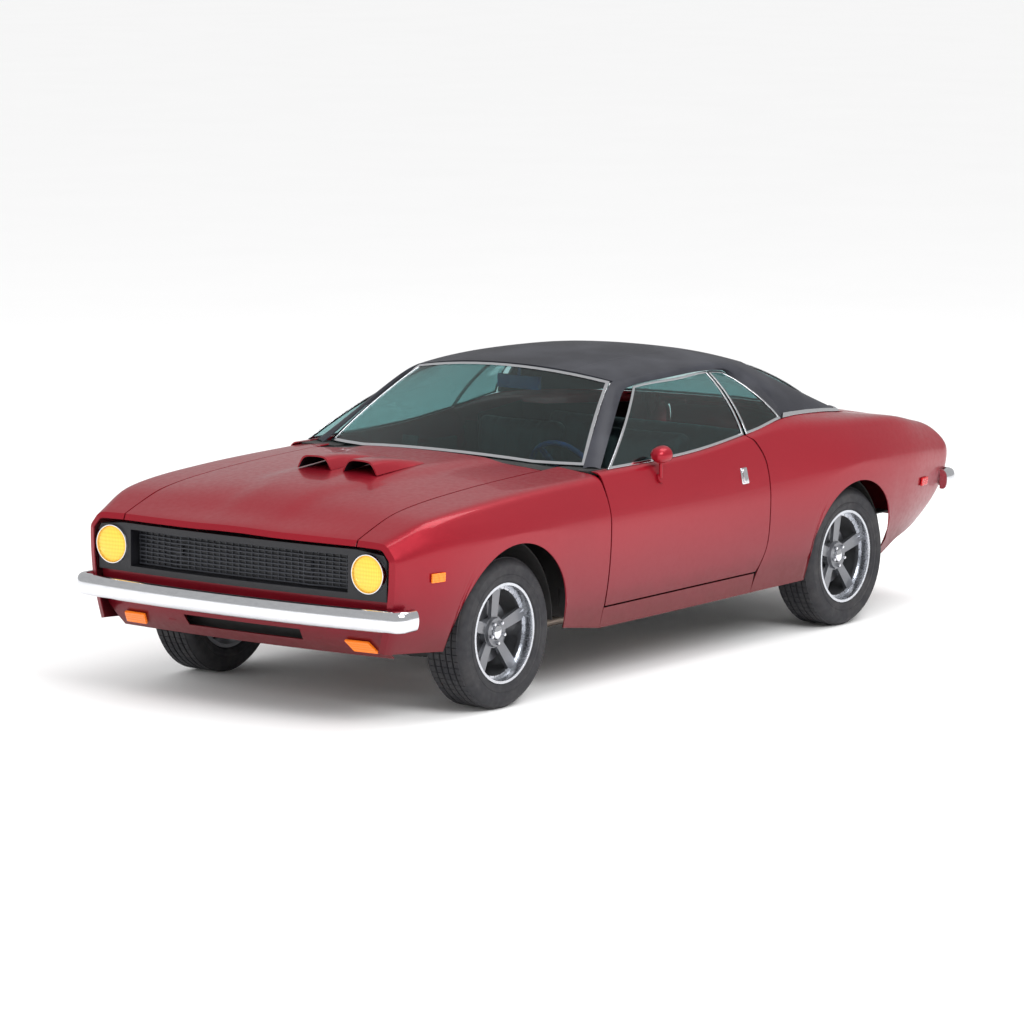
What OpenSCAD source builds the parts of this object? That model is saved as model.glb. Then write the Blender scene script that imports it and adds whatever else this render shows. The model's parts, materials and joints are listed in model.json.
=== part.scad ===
// Two-door hardtop muscle car with a vinyl roof, as separate panels on real hinges, knuckles and wheels.
// X points forward, Y to the car's left and Z up. The origin is on the floor below the middle of the car.

/* [Overall] */
// Distance between the front and the rear axle
wheelbase = 2743; // [2500:1:3300]
// Front axle to the front of the bumper
front_overhang = 880; // [860:1:1060]
// Rear axle to the back of the rear bumper
rear_overhang = 1060; // [1040:1:1280]
// Width of the body at the widest crease, over both sides
body_width = 1890; // [1860:1:2270]
// Height of the roof's centre above the floor
roof_height = 1360; // [1330:1:1500]

/* [Wheels] */
// Outer diameter of the tyres
tyre_d = 660; // [600:1:690]
// Width of the tyres
tyre_w = 215; // [180:1:225]
// Diameter of the wheel rims at the tyre's bead
rim_d = 440; // [380:1:460]
// Distance between the middles of the front tyres
front_track = 1516; // [1480:1:1560]
// Distance between the middles of the rear tyres
rear_track = 1542; // [1500:1:1580]
// Radius of the front wheel arches
front_arch_r = 403; // [400:1:430]
// Radius of the rear wheel arches
rear_arch_r = 375; // [365:1:420]
// Radius of the stub axles that carry the wheels
spindle_r = 30; // [20:1:40]

/* [Body] */
// Height of the sill's lower edge
sill_z = 262; // [220:1:300]
// Height of the belt line at the doors
belt_z = 940; // [900:1:980]
// Thickness of the outer skins
skin = 5; // [4:1:8]
// Gap round the doors and lids
shut_gap = 8; // [7:0.5:10]
// Gap behind the hood and in front of the trunk lid
hinge_gap = 10; // [9:0.5:14]
// Thickness of the window glass
glass_t = 5; // [4:0.5:6]
// Distance of the cabin's sides from the car's middle plane
cabin_y = 803; // [780:1:810]
// Height of the cabin's floor
floor_z = 270; // [240:1:300]
// Clearance between pieces that are fastened to each other
seat_gap = 0.3; // [0.2:0.1:0.5]
// Radial clearance of the pins and shafts that turn
pin_fit = 0.05; // [0.02:0.01:0.1]
// Radius of the hinge pins
hinge_pin_r = 6; // [4:1:7]

/* [Hidden] */
$fn = 48;

half_w = body_width / 2;
car_length = front_overhang + wheelbase + rear_overhang;
front_axle = car_length / 2 - front_overhang;
rear_axle = front_axle - wheelbase;
wheel_r = tyre_d / 2;

// Stations along the car
nose_roll = 36;                             // radius of the rolled front edge
nose_x = front_axle + 770 - nose_roll;      // the fenders' sides end and the roll begins
nose_bow = 40;                              // how far the nose's middle stands before its corners
hood_rear = front_axle - 570;
door_front = front_axle - 700;
door_rear = rear_axle + 750;
trunk_front = rear_axle - 400;
tail_roll = 30;
tail_x = rear_axle - 990 + tail_roll;
firewall_x = front_axle - 722;
hood_edge_y = 640;
deck_edge_y = 620;

// ---- curves ----
function lerp(a, b, t) = a + (b - a) * t;
function clamp(v, lo, hi) = min(max(v, lo), hi);
function smooth(t) = let (c = clamp(t, 0, 1)) c * c * (3 - 2 * c);
function unit(v) = v / max(norm(v), 1e-9);
function steps(n) = [for (k = [0:n]) k / n];
function arc(r, a0, a1, n) = [for (t = steps(n)) r * [cos(lerp(a0, a1, t)), sin(lerp(a0, a1, t))]];

// Index of the span of a line's points that holds x. The points are in the order of their first number.
function span(line, x, i = 0) = i >= len(line) - 2 || x <= line[i + 1][0] ? i : span(line, x, i + 1);
function slope(line, i) = let (a = line[max(i - 1, 0)], b = line[min(i + 1, len(line) - 1)])
    (b - a) / max(b[0] - a[0], 1e-6);
// Point of a line at x, on a smooth cubic through the line's points
function on(line, x) =
    let (i = span(line, x), p = line[i], q = line[i + 1], h = q[0] - p[0],
         t = clamp((x - p[0]) / h, 0, 1), t2 = t * t, t3 = t2 * t)
    (2 * t3 - 3 * t2 + 1) * p + (t3 - 2 * t2 + t) * h * slope(line, i)
    + (3 * t2 - 2 * t3) * q + (t3 - t2) * h * slope(line, i + 1);

// The body's character lines from the tail to the nose, each point [x, y, z]
sill_line = [[tail_x, half_w - 155, sill_z + 138], [rear_axle - 400, half_w - 110, sill_z + 70],
             [rear_axle, half_w - 90, sill_z], [door_rear, half_w - 77, sill_z],
             [door_front, half_w - 77, sill_z], [front_axle, half_w - 90, sill_z + 12],
             [nose_x, half_w - 160, sill_z + 68]];
crease_line = [[tail_x, half_w - 105, belt_z - 205], [rear_axle - 500, half_w - 25, belt_z - 170],
               [rear_axle, half_w, belt_z - 150], [door_rear, half_w - 22, belt_z - 212],
               [lerp(door_rear, door_front, 0.5), half_w - 24, belt_z - 202],
               [door_front, half_w - 15, belt_z - 185], [front_axle, half_w - 12, belt_z - 165],
               [front_axle + 450, half_w - 35, belt_z - 175], [nose_x, half_w - 100, belt_z - 215]];
peak_line = [[tail_x, half_w - 165, belt_z - 60], [rear_axle - 500, half_w - 105, belt_z + 10],
             [rear_axle, half_w - 78, belt_z + 40], [rear_axle + 400, half_w - 75, belt_z + 58],
             [door_rear + 120, half_w - 78, belt_z + 36], [door_rear + 560, half_w - 80, belt_z + 2],
             [door_front, half_w - 76, belt_z - 2], [front_axle, half_w - 78, belt_z - 16],
             [front_axle + 500, half_w - 92, belt_z - 55], [nose_x, half_w - 145, belt_z - 125]];
top_line = [[tail_x, deck_edge_y, belt_z - 47], [rear_axle - 380, deck_edge_y + 12, belt_z + 25],
            [rear_axle - 180, half_w - 235, belt_z + 50], [rear_axle + 100, half_w - 185, belt_z + 78],
            [rear_axle + 490, half_w - 130, belt_z + 95], [door_rear, half_w - 112, belt_z + 62],
            [door_rear + 560, half_w - 104, belt_z + 16], [door_front, half_w - 102, belt_z + 14]];
fender_top_line = [[door_front, hood_edge_y, belt_z + 22], [front_axle, hood_edge_y, belt_z - 2],
                   [front_axle + 500, hood_edge_y, belt_z - 48], [nose_x, hood_edge_y, belt_z - 122]];

// ---- surfaces ----
// Body side between the sill and the crease
function low_y(x, z) = let (a = on(sill_line, x), c = on(crease_line, x),
    t = clamp((z - a[2]) / (c[2] - a[2]), -0.2, 1)) a[1] + (c[1] - a[1]) * (1 - pow(1 - t, 2.4));
// Body side from the crease (t = 0) over the rounded peak to the top edge (t = 1)
peak_round = 45;
side_crown = 7;
function high_point(x, top, t) =
    let (c = on(crease_line, x), d = on(peak_line, x), e = on(top, x),
         dc = [0, c[1] - d[1], c[2] - d[2]], de = [0, e[1] - d[1], e[2] - d[2]],
         r = min(peak_round, norm(de) * 0.45), p = d + unit(dc) * r, q = d + unit(de) * r)
    t < 0.5 ? let (s = t / 0.5) [x, lerp(c[1], p[1], s) + side_crown * 4 * s * (1 - s), lerp(c[2], p[2], s)]
    : t < 0.75 ? let (s = (t - 0.5) / 0.25, m = (1 - s) * (1 - s) * p + 2 * s * (1 - s) * d + s * s * q)
        [x, m[1], m[2]]
    : let (s = (t - 0.75) / 0.25) [x, lerp(q[1], e[1], s), lerp(q[2], e[2], s)];

// ---- grids to solids ----
function grid_normal(g, i, j) = let (n = len(g), m = len(g[0]))
    unit(cross(g[min(i + 1, n - 1)][j] - g[max(i - 1, 0)][j], g[i][min(j + 1, m - 1)] - g[i][max(j - 1, 0)]));
function offset_grid(g, t) = [for (i = [0:len(g) - 1]) [for (j = [0:len(g[0]) - 1])
    g[i][j] - t * grid_normal(g, i, j)]];
// Closed solid between an outer and an inner grid of points, with the cells that keep says.
// Rows run to the rear and columns from the left foot over the top, seen from outside.
module sheet_solid(outer, inner, keep = function (i, j) true) {
    n = len(outer);
    m = len(outer[0]);
    points = concat([for (row = outer) each row], [for (row = inner) each row]);
    off = n * m;
    inside = function (i, j) i >= 0 && j >= 0 && i < n - 1 && j < m - 1 && keep(i, j);
    quad = function (a, b, c, d) [[a, b, c], [a, c, d]];
    cells = [for (i = [0:n - 2], j = [0:m - 2]) if (inside(i, j)) [i, j]];
    faces = concat(
        [for (c = cells) let (a = c[0] * m + c[1]) each quad(a, a + 1, a + m + 1, a + m)],
        [for (c = cells) let (a = off + c[0] * m + c[1]) each quad(a, a + m, a + m + 1, a + 1)],
        [for (c = cells) let (i = c[0], j = c[1], a = i * m + j) each concat(
            inside(i - 1, j) ? [] : quad(a + 1, a, a + off, a + 1 + off),
            inside(i + 1, j) ? [] : quad(a + m, a + m + 1, a + m + 1 + off, a + m + off),
            inside(i, j - 1) ? [] : quad(a, a + m, a + m + off, a + off),
            inside(i, j + 1) ? [] : quad(a + m + 1, a + 1, a + 1 + off, a + m + 1 + off))]);
    polyhedron(points, faces);
}
module skin_sheet(g, t = skin) sheet_solid(g, offset_grid(g, t));

// Closed solid through a row of rings with as many points each
module loft(rings) {
    n = len(rings);
    m = len(rings[0]);
    middle = function (r) [for (k = [0:2]) [for (p = r) p[k]] * [for (p = r) 1 / m]];
    around = [for (p = [0:m - 1]) cross(rings[0][p] - middle(rings[0]), rings[0][(p + 1) % m] - middle(rings[0]))];
    turn = [for (k = [0:2]) [for (v = around) v[k]] * [for (v = around) 1]];
    rows = turn * (middle(rings[1]) - middle(rings[0])) > 0 ? rings : [for (r = rings) [for (j = [m - 1:-1:0]) r[j]]];
    sides = [for (i = [0:n - 2], j = [0:m - 1]) let (a = i * m + j, b = i * m + (j + 1) % m)
        each [[a, b + m, b], [a, a + m, b + m]]];
    caps = [for (j = [1:m - 2]) each [[0, j, j + 1], [(n - 1) * m, (n - 1) * m + j + 1, (n - 1) * m + j]]];
    polyhedron([for (r = rows) each r], concat(sides, caps));
}
// Round bar between two points
module bar(a, b, r) {
    d = b - a;
    translate(a) rotate([0, acos(d[2] / norm(d)), atan2(d[1], d[0])]) cylinder(r = r, h = norm(d));
}
module box(lo, hi) translate(lo) cube(hi - lo);
// Plate that lies in the XZ plane between two Y values, from its outline of [x, z]
module side_plate(outline, y0, y1) translate([0, y1, 0]) rotate([90, 0, 0]) linear_extrude(y1 - y0) polygon(outline);
// Plate across the car between two X values, from its outline of [y, z]
module cross_plate(outline, x0, x1) translate([x0, 0, 0]) rotate([90, 0, 90]) linear_extrude(x1 - x0) polygon(outline);
module left() children();
module right() mirror([0, 1, 0]) children();
module both() {
    left() children();
    right() children();
}

// ---- side panels ----
crease_top = 800;         // the side crease is lower than this everywhere
low_rows = steps(5);
high_rows = [0, 0.17, 0.34, 0.5, 0.58, 0.67, 0.75, 0.87, 1];
door_foot_z = sill_z + 100;
function door_back_x(z) = door_rear + 90 * pow(clamp((500 - z) / 150, 0, 1), 2)
    + 90 * pow(clamp((z - belt_z + 80) / 130, 0, 1), 2);

// One column of a side panel, from its foot [x, z] up to the crease at xc and on to the top line
function column(foot, xc, top) = let (zc = on(crease_line, xc)[2]) concat(
    [for (t = low_rows) let (x = lerp(foot[0], xc, t), z = lerp(foot[1], zc, t)) [x, low_y(x, z), z]],
    [for (t = high_rows) if (t > 0) high_point(xc, top, t)]);
// A column rolled inwards by an angle, to the front for dir 1 and to the rear for dir -1
function rolled(col, r, angle, dir) = [for (j = [0:len(col) - 1])
    let (d = col[min(j + 1, len(col) - 1)] - col[max(j - 1, 0)], n = unit([0, d[2], -d[1]]))
    col[j] + [dir * r * sin(angle), 0, 0] - n * r * (1 - cos(angle))];

arch_cols = 12;
function arch_foot(axle, r, zf, s) = let (a0 = asin((zf - wheel_r) / r), a = lerp(a0, 180 - a0, s))
    [axle + r * cos(a), wheel_r + r * sin(a)];
function sill_at(x) = on(sill_line, x)[2];

function fender_grid() =
    let (zf = sill_at(front_axle + front_arch_r), af = arch_foot(front_axle, front_arch_r, zf, 0),
         ar = arch_foot(front_axle, front_arch_r, zf, 1), rear = door_front + shut_gap,
         nose = column([nose_x, sill_at(nose_x)], nose_x, fender_top_line))
    concat([for (a = [90, 45]) rolled(nose, nose_roll, a, 1)],
           [for (s = steps(5)) let (x = lerp(nose_x, af[0], s)) column([x, sill_at(x)], x, fender_top_line)],
           [for (k = [1:arch_cols]) let (s = k / arch_cols)
               column(arch_foot(front_axle, front_arch_r, zf, s), lerp(af[0], ar[0], s), fender_top_line)],
           [for (k = [1:4]) let (x = lerp(ar[0], rear, k / 4))
               column([x, lerp(af[1], sill_at(x), k / 4)], x, fender_top_line)]);
module front_fender() color("firebrick") skin_sheet(fender_grid());

// The tail leans forward above and below its fullest height
tail_full_z = 735;
function tail_lean(z) = z < tail_full_z ? 200 * pow((tail_full_z - z) / 325, 2) : 140 * pow((z - tail_full_z) / 158, 2);
function leant(col, w) = [for (p = col) p + [w * tail_lean(p[2]), 0, 0]];
// Columns behind the door lean with its back edge; the curves are set apart in height too, so the gap stays even
edge_down = 9;
edge_up = 4;
function quarter_column(s, end_x) =
    let (x0 = lerp(door_rear - shut_gap, end_x, s),
         lean = function (z) (1 - s) * (door_back_x(z < crease_top ? z + edge_down : z - edge_up) - door_rear))
    concat([for (t = low_rows) let (x = x0 + lean(lerp(sill_z, on(crease_line, x0)[2], t)),
                z = lerp(sill_z, on(crease_line, x)[2], t)) [x, low_y(x, z), z]],
           [for (t = high_rows) if (t > 0) high_point(x0 + lean(high_point(x0, top_line, t)[2]), top_line, t)]);
function quarter_grid() =
    let (zf = sill_at(rear_axle), af = arch_foot(rear_axle, rear_arch_r, zf, 0),
         ar = arch_foot(rear_axle, rear_arch_r, zf, 1),
         tail = leant(column([tail_x, sill_at(tail_x)], tail_x, top_line), 1))
    concat([for (s = steps(4)) quarter_column(s, af[0])],
           [for (k = [1:arch_cols]) let (s = k / arch_cols)
               column(arch_foot(rear_axle, rear_arch_r, zf, s), lerp(af[0], ar[0], s), top_line)],
           [for (k = [1:7]) let (x = lerp(ar[0], tail_x, k / 7))
               leant(column([x, lerp(ar[1], sill_at(x), min(k / 2, 1))], x, top_line), k * k / 49)],
           [for (a = [45, 90]) rolled(tail, tail_roll, a, -1)]);
module quarter_panel() color("firebrick") skin_sheet(quarter_grid());

// ---- doors ----
door_flange = 60;         // width of the single skin at the door's front edge
door_back_flange = 12;    // and at its back edge
door_length = door_front - door_rear;
door_cols = concat([0, (door_flange - 2) / door_length, door_flange / door_length],
                   [for (k = [1:8]) lerp(0.06, 0.96, k / 9)],
                   [1 - door_back_flange / door_length, 1 - (door_back_flange - 2) / door_length, 1]);
door_low_rows = [0, 0.05, 0.06, 0.25, 0.45, 0.65, 0.83, 1];
door_inner_y = cabin_y + 10;
function door_grid() = [for (u = door_cols) concat(
    [for (t = door_low_rows) let (x0 = lerp(door_front, door_rear, u), z0 = lerp(door_foot_z, on(crease_line, x0)[2], t),
        x = lerp(door_front, door_back_x(z0), u), z = lerp(door_foot_z, on(crease_line, x)[2], t)) [x, low_y(x, z), z]],
    [for (t = high_rows) if (t > 0) let (x0 = lerp(door_front, door_rear, u), p = high_point(x0, top_line, t),
        x = lerp(door_front, door_back_x(p[2]), u)) high_point(x, top_line, t)])];

// The door turns about a pin inside the fender, on straps that bend round the fender's back edge
door_pin = [door_front + 85, half_w - 55];
hinge_heights = [560, 740];
hinge_h = 40;
strap_t = 8;
strap_in = door_pin[1] - door_inner_y + seat_gap;
strap_outline = [[0, -strap_t / 2], [-57, -strap_in - strap_t], [-170, -strap_in - strap_t], [-170, -strap_in],
                 [-64, -strap_in], [-8, strap_t / 2]];
module door_strap(z) translate([door_pin[0], door_pin[1], z]) difference() {
    union() {
        linear_extrude(hinge_h) polygon(strap_outline);
        cylinder(r = hinge_pin_r + 4, h = hinge_h);
    }
    translate([0, 0, -1]) cylinder(r = hinge_pin_r + pin_fit, h = hinge_h + 2);
}
module door() {
    g = door_grid();
    h = offset_grid(g, skin);
    n = len(g);
    m = len(g[0]);
    inner = [for (i = [0:n - 1]) [for (j = [0:m - 1])
        j == m - 1 || (i > 1 && i < n - 2 && j > 1) ? [g[i][j][0], door_inner_y, g[i][j][2]] : h[i][j]]];
    color("firebrick") {
        sheet_solid(g, inner);
        for (z = hinge_heights) door_strap(z);
    }
}

// ---- side windows ----
rail_drop = 10;           // the side glass ends this far below the roof's edge
glass_bulge = 22;
// Glass from its foot on the belt up to its head below the roof rail
function side_glass(feet, heads) = [for (k = [0:len(feet) - 1]) [for (t = steps(6))
    lerp(feet[k], heads[k], t) + [0, 0.8, 0.6] * glass_bulge * 4 * t * (1 - t)]];
door_glass_front = front_axle - 790;
door_glass_back = rear_axle + 846;
quarter_glass_back = rear_axle + 510;
function belt_foot(x, dy, dz) = let (p = on(top_line, x)) [x, p[1] - dy, p[2] + dz];
// Height of the door's top edge at x, on the straight line between its columns
function door_top(x) = let (tops = [for (r = door_grid()) r[len(r) - 1]],
    i = max([for (k = [0:len(tops) - 2]) tops[k][0] >= x ? k : 0]),
    t = (x - tops[i][0]) / (tops[i + 1][0] - tops[i][0])) lerp(tops[i], tops[i + 1], t);
function rail_at(x) = let (u = rail_u(x)) on(rail_line, u);
module side_window(g) {
    h = offset_grid(g, glass_t);
    sheet_solid(g, [for (i = [0:len(g) - 1]) [for (j = [0:len(g[0]) - 1]) j == 0 ? [h[i][j][0], h[i][j][1], g[i][j][2]] : h[i][j]]]);
}
module door_glass() {
    feet = [for (r = door_grid()) let (p = r[len(r) - 1]) if (p[0] < door_glass_front && p[0] > door_glass_back + 20)
        p + [0, -4, seat_gap + 0.2]];
    ends = concat([door_top(door_glass_front) + [0, -4, seat_gap + 0.2]], feet,
                  [door_top(door_glass_back) + [0, -4, seat_gap + 0.2]]);
    front_head = front_axle - 1352;
    back_head = rear_axle + 784;
    heads = [for (p = ends) let (t = (p[0] - door_glass_front) / (door_glass_back - door_glass_front),
        x = lerp(front_head, back_head, t), r = rail_at(x)) [x, r[2] - 2, r[3] - rail_drop]];
    color("#5c8686", 0.5) side_window(side_glass(ends, heads));
}
module quarter_window() {
    feet = [for (t = steps(5)) belt_foot(lerp(door_back_x(belt_z + 60) - shut_gap - 2, quarter_glass_back, t), 0, 0.8)];
    heads = [for (t = steps(5)) let (x = lerp(rear_axle + 772, rear_axle + 655, t), r = rail_at(x))
        [x, r[2] - 2, r[3] - rail_drop]];
    color("#5c8686", 0.5) side_window(side_glass(feet, heads));
}

// ---- roof with its pillars, along u from the windscreen's foot to the tails of the sail panels ----
pillar_foot_z = belt_z + 14;
rail_line = [[-0.35, front_axle - 797, 796, pillar_foot_z], [-0.1, front_axle - 1180, 632, roof_height - 160],
             [0, front_axle - 1290, 590, roof_height - 106], [0.3, front_axle - 1672, 600, roof_height - 90],
             [0.55, rear_axle + 640, 588, roof_height - 104],
             [0.6, rear_axle + 560, 680, lerp(roof_height - 104, belt_z + 95, 0.45)],
             [0.66, rear_axle + 491, half_w - 131, belt_z + 95.5],
             [0.8, rear_axle + 172, half_w - 173, belt_z + 83], [1, rear_axle - 178, half_w - 235, belt_z + 51]];
knee_line = [[-0.35, front_axle - 758, 728, pillar_foot_z], [-0.1, front_axle - 1125, 588, roof_height - 128],
             [0, front_axle - 1250, 548, roof_height - 76], [0.3, front_axle - 1672, 578, roof_height - 56],
             [0.55, rear_axle + 650, 566, roof_height - 62], [0.6, rear_axle + 575, 562, roof_height - 66],
             [0.66, rear_axle + 500, 548, roof_height - 74], [0.72, rear_axle + 371, 505, roof_height - 94],
             [0.8, rear_axle + 200, 530, roof_height - 170], [1, rear_axle - 200, 628, belt_z + 62]];
ridge_line = [[-0.35, front_axle - 1210, 0, roof_height - 27], [0, front_axle - 1215, 0, roof_height - 27],
              [0.3, front_axle - 1672, 0, roof_height], [0.55, rear_axle + 720, 0, roof_height - 8],
              [0.66, rear_axle + 531, 0, roof_height - 26], [0.72, rear_axle + 401, 0, roof_height - 46],
              [1, rear_axle + 400, 0, roof_height - 46]];
function rail_u(x, lo = 0, hi = 0.6, n = 18) = n == 0 ? (lo + hi) / 2
    : on(rail_line, (lo + hi) / 2)[1] > x ? rail_u(x, (lo + hi) / 2, hi, n - 1) : rail_u(x, lo, (lo + hi) / 2, n - 1);
roof_rows = [-0.35, -0.25, -0.14, -0.05, 0, 0.08, 0.2, 0.32, 0.44, 0.55, 0.6, 0.66, 0.72, 0.8, 0.9, 1];
roof_open_front = 4;      // row of the windscreen's header
roof_open_back = 12;      // row of the rear window's header
side_cols = 3;
crown_cols = 6;
function point3(p) = [p[1], p[2], p[3]];
// The sail panels stand on the quarter panels' top edges
sail_u = 0.66;
function rail_point(u) = u < sail_u ? point3(on(rail_line, u))
    : belt_foot(lerp(rear_axle + 491, rear_axle - 178, (u - sail_u) / (1 - sail_u)), 1.6, 0.8);
function roof_row(u) = let (b = rail_point(u), k = point3(on(knee_line, u)), c = point3(on(ridge_line, u)),
    out = unit([0, k[2] - b[2], b[1] - k[1]]), swell = norm(k - b) * 0.12,
    half = concat([for (t = steps(side_cols)) lerp(b, k, t) + out * swell * 4 * t * (1 - t)],
                  [for (q = [1:crown_cols]) let (t = q / crown_cols, y = lerp(k[1], 0, t), w = y / k[1])
                      [lerp(k[0], c[0], 1 - w * w), y, c[2] - (c[2] - k[2]) * pow(w, 2.2)]]))
    concat(half, [for (j = [len(half) - 2:-1:0]) [half[j][0], -half[j][1], half[j][2]]]);
roof_t = 12;
module roof() {
    g = [for (u = roof_rows) roof_row(u)];
    last = len(g[0]) - 2;
    h = offset_grid(g, roof_t);
    inner = [for (i = [0:len(g) - 1]) [for (j = [0:last + 1]) let (p = g[i][j], q = h[i][j])
        i == 0 ? [q[0], q[1], p[2]]
        : roof_rows[i] >= sail_u && (j == 0 || j == last + 1) ? [p[0], p[1] - sign(p[1]) * roof_t, p[2]] : q]];
    color("#22242a") sheet_solid(g, inner, function (i, j)
        (i >= roof_open_front && i < roof_open_back) || j < side_cols || j > last - side_cols);
}

// ---- windscreen and rear window ----
screen_bow = 130;
function screen_foot_x(y) = front_axle - 672 - screen_bow * pow(y / 720, 2);
function cowl_z(x, y) = let (e = on(fender_top_line, max(x, door_front))[2], w = clamp(abs(y) / hood_edge_y, 0, 1),
    drop = clamp((hood_rear - x) / (hood_rear - screen_foot_x(0)), 0, 1.6)) e + 26 * (1 - w * w) - 12 * drop;
module windshield() {
    cols = 12;
    w0 = 712;
    w1 = 536;
    g = [for (t = steps(7)) [for (k = [0:cols]) let (s = 1 - 2 * k / cols, y0 = s * w0, y1 = s * w1,
        xf = screen_foot_x(y0), foot = [xf, y0, max(cowl_z(xf, y0), pillar_foot_z) + glass_t + 0.6],
        head = [front_axle - 1200 - 42 * s * s, y1, roof_height - 34 - 46 * s * s])
        lerp(foot, head, 1 - t) + [0.5, 0, 0.8] * 16 * 4 * t * (1 - t)]];
    color("#5c8686", 0.5) skin_sheet([for (k = [0:7]) g[7 - k]], glass_t);
}
function deck_z(x, y) = let (e = on(top_line, x), w = clamp(y / e[1], -1, 1)) e[2] + 18 * (1 - w * w);
rear_foot = rear_axle - 250;
module rear_window() {
    cols = 10;
    w0 = 490;
    w1 = 596;
    g = [for (t = steps(7)) [for (k = [0:cols]) let (s = 1 - 2 * k / cols, y0 = s * w0, y1 = s * w1,
        head = [rear_axle + 386 - 26 * s * s, y0, roof_height - 56 - 44 * s * s],
        xf = rear_foot + 60 * s * s, foot = [xf, y1, deck_z(xf, y1) + glass_t + 0.2])
        lerp(head, foot, t) + [-0.45, 0, 0.9] * 26 * 4 * t * (1 - t)]];
    color("#5c8686", 0.5) skin_sheet(g, glass_t);
}

// ---- hood, scoops and trunk lid ----
function nose_front(y) = nose_x + nose_bow * (1 - pow(y / hood_edge_y, 2));
function hood_z(x, y) = let (e = on(fender_top_line, x)[2], w = y / hood_edge_y, f = (x - hood_rear) / (nose_x - hood_rear),
    flat = smooth((nose_x + nose_bow - x) / 420))
    e + lerp(3, 26, flat) * (1 - w * w) + lerp(4, 14, flat) * (1 - smooth((abs(y) - lerp(350, 120, f)) / 40));
hood_cols = [for (k = [-9:9]) -k / 9 * (hood_edge_y - shut_gap)];
function hood_grid() = let (front = [for (y = hood_cols) [nose_front(y), y, hood_z(nose_x, y)]])
    concat([for (a = [90, 45]) [for (p = front) p + [nose_roll * sin(a), 0, -nose_roll * (1 - cos(a))]]],
           [for (s = steps(13)) [for (y = hood_cols) let (x = lerp(nose_front(y), hood_rear, s))
               [x, y, hood_z(min(x, nose_x), y)]]]);
hood_pin = [hood_rear - 80, belt_z - 4];
trunk_pin = [trunk_front + 80, belt_z + 7];
hinge_y = 560;
trunk_hinge_y = 500;
arm_w = 14;
neck_r = 95;
lid_seat = skin + 1;       // the arm's end sits this far below the lid's top face
// Arm that leaves a lid's underside, bends round the edge of the panel next to it and ends at the pin.
// Seen with the lid on the right of the pin.
module lid_arm(open, tops) rotate([90, 0, 0]) linear_extrude(arm_w, center = true) difference() {
    union() {
        polygon(concat([[neck_r + 7, tops[0]]], arc(neck_r + 7, 0, -open - 20, 8), [[-4, -2], [4, 0]],
            arc(neck_r - 7, -open - 12, 0, 8), [[neck_r - 7, tops[1]]]));
        circle(r = hinge_pin_r + 5);
    }
    circle(r = hinge_pin_r + pin_fit);
}
module hood() color("firebrick") {
    skin_sheet(hood_grid());
    for (s = [-1, 1]) translate([hood_pin[0], s * hinge_y, hood_pin[1]])
        lid_arm(50, [for (e = [7, -7]) hood_z(hood_pin[0] + neck_r + e, hinge_y + arm_w / 2) - hood_pin[1] - lid_seat]);
}

scoop_back = hood_rear + 300;
scoop_front = front_axle + 78;
scoop_w = 190;
scoop_h = 50;
scoop_y = 125;
module hood_scoop(side) {
    rows = steps(6);
    cols = 8;
    g = [for (s = rows) let (x = lerp(scoop_front, scoop_back, s), h = scoop_h * (1 - pow(s, 1.6)) + 7)
        [for (k = [0:cols]) let (w = 1 - 2 * k / cols, y = side * scoop_y + w * scoop_w / 2,
            e = max(pow(1 - pow(abs(w), 4), 0.5), 0)) [x, y, hood_z(x, y) + 0.6 + h * e + (abs(w) == 1 ? 0 : 3)]]];
    inner = [for (r = g) [for (k = [0:cols]) let (p = r[k], w = 1 - 2 * k / cols, y = side * scoop_y + w * (scoop_w / 2 - 7))
        [p[0], y, max(p[2] - 7, hood_z(p[0], y) + 0.6)]]];
    sheet_solid(g, [for (i = [0:6]) [for (k = [0:cols]) k == 0 || k == cols
        ? [inner[i][k][0], inner[i][k][1], hood_z(inner[i][k][0], inner[i][k][1]) + 0.6] : inner[i][k]]]);
}
module hood_scoops() color("firebrick") for (s = [1, -1]) hood_scoop(s);

trunk_cols = [for (k = [-7:7]) -k / 7];
trunk_edge_y = deck_edge_y - shut_gap;
function trunk_grid() = let (rows = [for (s = steps(8)) let (x = lerp(trunk_front, tail_x, s))
        [for (w = trunk_cols) let (y = w * trunk_edge_y, z = deck_z(x, y)) [x + s * s * tail_lean(z), y, z]]],
    back = rows[8]) concat(rows, [for (a = [45, 90])
        [for (p = back) p - [tail_roll * sin(a), 0, tail_roll * (1 - cos(a))]]]);
module trunk_lid() color("firebrick") {
    skin_sheet(trunk_grid());
    for (s = [-1, 1]) translate([trunk_pin[0], s * trunk_hinge_y, trunk_pin[1]])
        rotate([0, 0, 180]) lid_arm(60, [for (e = [7, -7])
            deck_z(trunk_pin[0] - neck_r - e, trunk_hinge_y + arm_w / 2) - trunk_pin[1] - lid_seat]);
}

// ---- fixed panels ----
module rocker_panel() {
    g = [for (s = steps(6)) let (x = lerp(door_front + shut_gap - seat_gap, door_rear + 90 - shut_gap + seat_gap, s))
        [for (t = steps(3)) let (z = lerp(sill_at(x), door_foot_z - shut_gap, t)) [x, low_y(x, z), z]]];
    color("firebrick") sheet_solid(g, [for (r = g) [for (p = r) [p[0], half_w - 220, p[2]]]]);
}

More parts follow.
